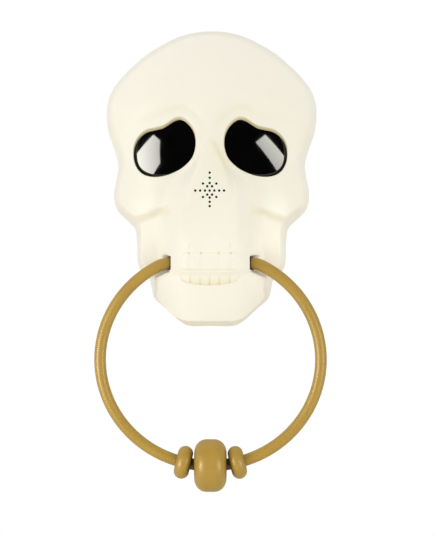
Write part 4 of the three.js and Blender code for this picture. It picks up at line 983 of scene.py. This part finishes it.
def cell_mesh(x, up):
    """AA cell with a crimped rim and a raised positive cap."""
    r, end, sides = CELL_RADIUS, CELL_LENGTH, 48
    profile = [
        (0.01, 0), (r - 1.6, 0), (r - 1.5, 0.25), (r - 0.9, 0.3), (r - 0.3, 0.5), (r, 1.0),
        (r, end - 2.3), (r - 0.3, end - 1.75), (r - 0.8, end - 1.6), (3.2, end - 1.5),
        (2.9, end - 1.35), (2.75, end - 0.4), (2.3, end), (0.01, end)]
    t = np.linspace(0, 2 * np.pi, sides, endpoint=False)
    verts = np.concatenate([
        np.stack([q * np.cos(t), q * np.sin(t), np.full(sides, h)], 1) for q, h in profile])
    if not up:
        verts = verts * [1, -1, -1] + [0, 0, end]
    faces = grid_faces(len(profile), sides)
    faces.append(tuple(range(sides - 1, -1, -1)))
    faces.append(tuple(range(len(verts) - sides, len(verts))))
    return verts + [x, -CELL_DEPTH, CELL_FOOT], faces


for i, (x, up) in enumerate([(-CELL_PITCH, True), (0, False), (CELL_PITCH, True)]):
    verts, faces = cell_mesh(x, up)
    piece(f"battery_cell_{i + 1}_can", verts, faces, "housing", CELL, "cell_jacket",
          f"battery_cell_{i + 1}", sharp=35)


def knob_mesh():
    """Slide knob with three grip ridges on its outer end."""
    ridges = []
    for i in range(4):
        u = -2.6 + i * 1.3
        ridges += [(u + 0.1, KNOB_TOP + 0.3), (u + 0.35, KNOB_TOP), (u + 0.95, KNOB_TOP),
                   (u + 1.2, KNOB_TOP + 0.3)]
    ridges = [(KNOB_MIDDLE + u, d) for u, d in ridges]
    outline = [(KNOB_LEFT, KNOB_ROOT), (KNOB_LEFT, KNOB_LIP), *ridges,
               (KNOB_RIGHT, KNOB_LIP), (KNOB_RIGHT, KNOB_ROOT)]
    verts = []
    for z, inset in [(KNOB_LOW, EDGE_WIDTH), (KNOB_LOW + EDGE_WIDTH, 0),
                     (KNOB_HIGH - EDGE_WIDTH, 0), (KNOB_HIGH, EDGE_WIDTH)]:
        for x, d in outline:
            cx = min(max(x, KNOB_LEFT + inset), KNOB_RIGHT - inset)
            verts.append((cx, -max(d, KNOB_TOP + inset), z))
    n = len(outline)
    faces = grid_faces(4, n, flip=True)
    faces.append(tuple(range(n)))
    faces.append(tuple(range(4 * n - 1, 3 * n - 1, -1)))
    return verts, faces


verts, faces = knob_mesh()
piece("switch_knob_grip", verts, faces, "switch_knob", DARK, "dark_plastic", "switch_knob",
      sharp=30)


# Stage

FLOOR_RADIUS = 0.68
FLOOR_Z = -0.30
FLOOR_SIDES = 96


def stage_floor():
    """Round pale floor below the hanging part."""
    mesh = bpy.data.meshes.new("floor")
    t = np.linspace(0, 2 * np.pi, FLOOR_SIDES, endpoint=False)
    verts = [(FLOOR_RADIUS * math.cos(a), FLOOR_RADIUS * math.sin(a), FLOOR_Z) for a in t]
    mesh.from_pydata(verts, [], [tuple(range(FLOOR_SIDES))])
    obj = bpy.data.objects.new("floor", mesh)
    bpy.context.scene.collection.objects.link(obj)
    mesh.materials.append(node_material("floor_paper", (0.88, 0.84, 0.72), 0.8, spread=0.01,
                                        cloud=3, bump=0.02))


stage_floor()

world = bpy.data.worlds.new("studio")
bpy.context.scene.world = world
world.use_nodes = True
wt = world.node_tree


def sky(strength):
    """Even white background."""
    node = wt.nodes.new("ShaderNodeBackground")
    node.inputs["Color"].default_value = (1, 1, 1, 1)
    node.inputs["Strength"].default_value = strength
    return node


def sky_swap(fac, a, b):
    """Background b for one kind of ray, a for the others."""
    node = wt.nodes.new("ShaderNodeMixShader")
    wt.links.new(fac, node.inputs[0])
    wt.links.new(a.outputs[0], node.inputs[1])
    wt.links.new(b.outputs[0], node.inputs[2])
    return node


# Even tent of light; a dark wall behind the camera for reflections; white behind the object
way = wt.nodes.new("ShaderNodeTexCoord")
split = wt.nodes.new("ShaderNodeSeparateXYZ")
wt.links.new(way.outputs["Generated"], split.inputs[0])
dark_wall = wt.nodes.new("ShaderNodeMapRange")
dark_wall.inputs["From Min"].default_value = -0.25
dark_wall.inputs["From Max"].default_value = 0.4
dark_wall.inputs["To Min"].default_value = 0.01
dark_wall.inputs["To Max"].default_value = 0.6
wt.links.new(split.outputs["Y"], dark_wall.inputs["Value"])
mirrored = sky(0.6)
wt.links.new(dark_wall.outputs[0], mirrored.inputs["Strength"])
path = wt.nodes.new("ShaderNodeLightPath")
tent = sky_swap(path.outputs["Is Glossy Ray"], sky(0.955), mirrored)
seen = sky_swap(path.outputs["Is Camera Ray"], tent, sky(1.0))
wt.links.new(seen.outputs[0], wt.nodes["World Output"].inputs["Surface"])


def light(name, kind, place, aim, power, roll=0.0):
    """Lamp turned towards a point."""
    data = bpy.data.lights.new(name, kind)
    data.energy = power
    obj = bpy.data.objects.new(name, data)
    bpy.context.scene.collection.objects.link(obj)
    obj.location = place
    turn = (Vector(aim) - Vector(place)).to_track_quat("-Z", "Y").to_matrix().to_4x4()
    obj.rotation_euler = (turn @ Matrix.Rotation(roll, 4, "Z")).to_euler()
    return obj


def area_light(name, place, aim, size, power, diffuse=True, glossy=True, roll=0.0,
               colour=(1, 1, 1)):
    """Rectangular softbox that the camera doesn't see."""
    obj = light(name, "AREA", place, aim, power, roll)
    obj.data.shape = "RECTANGLE"
    obj.data.size, obj.data.size_y = size
    obj.data.color = colour
    obj.visible_camera = False
    obj.visible_diffuse = diffuse
    obj.visible_glossy = glossy
    return obj


HEART = (0, -0.03, 0.03)
for name, place, size, power in [("left_key", (-1.5, -0.9, 0), 1.2, 4.2),
                                 ("low_key", (-1.2, -0.9, -1.2), 1.0, 2.0),
                                 ("right_key", (1.5, -0.9, 0), 1.2, 2.2)]:
    area_light(name, place, HEART, (size, size), power, glossy=False)


def shade_box(lamp, across, up, stops):
    """Grades and trims a softbox along one direction of its face: stops of place and level."""
    lamp.data.use_nodes = True
    tree = lamp.data.node_tree
    place = tree.nodes.new("ShaderNodeNewGeometry")
    along = tree.nodes.new("ShaderNodeVectorMath")
    along.operation = "DOT_PRODUCT"
    along.inputs[1].default_value = (across, up, 0)
    tree.links.new(place.outputs["Parametric"], along.inputs[0])
    level = tree.nodes.new("ShaderNodeValToRGB")
    ends = level.color_ramp.elements
    while len(ends) < len(stops):
        ends.new(0.5)
    for end, (at, value) in zip(ends, stops):
        end.position = at
        end.color = (value, value, value, 1)
    tree.links.new(along.outputs["Value"], level.inputs["Fac"])
    tree.links.new(level.outputs["Color"], tree.nodes["Emission"].inputs["Strength"])


# Two softboxes that only reflections show: the pale patches on the lenses
WARM = (1, 0.98, 0.9)
left_box = area_light("left_box", (-1.037, -0.879, -0.108), (-0.06, -0.02, 0.037), (0.455, 0.7),
                      11.0, diffuse=False, roll=math.radians(-40), colour=WARM)
shade_box(left_box, 0.46, 0.54, [(0.25, 1.0), (0.71, 0.58), (0.725, 0.0)])
right_box = area_light("right_box", (1.025, -0.889, -0.044), (-0.015, -0.114, 0.001), (0.25, 0.7),
                       4.0, diffuse=False, roll=math.radians(40), colour=WARM)
shade_box(right_box, 1.0, 0.0, [(0.0, 0.72), (0.5, 0.86), (1.0, 1.0)])


def spot_light(name, place, aim, angle, power):
    """Soft-edged fill on the skull alone; the knocker neither takes it nor shades it."""
    obj = light(name, "SPOT", place, aim, power)
    obj.data.spot_size = math.radians(angle)
    obj.data.spot_blend = 1.0
    obj.data.shadow_soft_size = 0.01
    obj.visible_glossy = False
    obj.light_linking.receiver_collection = SKULL_LIT
    obj.light_linking.blocker_collection = SKULL_LIT


# Fills in the skull's hollows, a little stronger on the side away from the key
SKULL_LIT = bpy.data.collections.new("skull_lit")
SKULL_LIT.objects.link(skull)
for side, word in SIDES:
    lamp_place = (0.75 * side, -1.2, -0.1)
    more = 1.4 if side > 0 else 1.0
    spot_light(f"{word}_side_fill", lamp_place, (0.042 * side, -0.03, 0.012), 1.5, 11.5 * more)
    spot_light(f"{word}_jaw_fill", lamp_place, (0.037 * side, -0.035, -0.012), 1.3, 12 * more)
    spot_light(f"{word}_cheek_fill", lamp_place, (0.044 * side, -0.04, 0.034), 1.1, 9 * more)
spot_light("muzzle_fill", (0, -1.4, -0.4), (0, -0.06, -0.005), 4.6, 4.5)

# Lights that reach the knocker alone
KNOCKER_LIT = bpy.data.collections.new("knocker_lit")
for obj in KNOCKER:
    KNOCKER_LIT.objects.link(obj)
for name, place, power, shine in [("ring_left", (-1.06, -0.85, -0.05), 7.2, True),
                                  ("ring_right", (1.06, -0.85, -0.05), 4, True),
                                  ("ring_front", (-0.3, -1.6, 0.5), 5.5, False)]:
    lamp = area_light(name, place, (0, -0.04, -0.07), (0.5, 0.6), power, glossy=shine)
    lamp.light_linking.receiver_collection = KNOCKER_LIT

# Camera: the photograph's frame of 435 x 537 pixels, seen from straight in front
cam_data = bpy.data.cameras.new("camera")
camera = bpy.data.objects.new("camera", cam_data)
bpy.context.scene.collection.objects.link(camera)
CAMERA_DISTANCE = 1.5
CAMERA_TURN = math.radians(1.0)
PIXEL = 0.00072
PHOTO_HEIGHT = 537
SENSOR = 36
target = Vector((0.00427, 0, -0.0047))
aside = Vector((math.sin(CAMERA_TURN), -math.cos(CAMERA_TURN), 0))
camera.location = target + CAMERA_DISTANCE * aside
camera.rotation_euler = (target - camera.location).to_track_quat("-Z", "Y").to_euler()
cam_data.sensor_fit = "VERTICAL"
cam_data.sensor_height = SENSOR
cam_data.lens = SENSOR * CAMERA_DISTANCE / (PIXEL * PHOTO_HEIGHT)
bpy.context.scene.camera = camera
bpy.context.scene.view_settings.view_transform = "Standard"
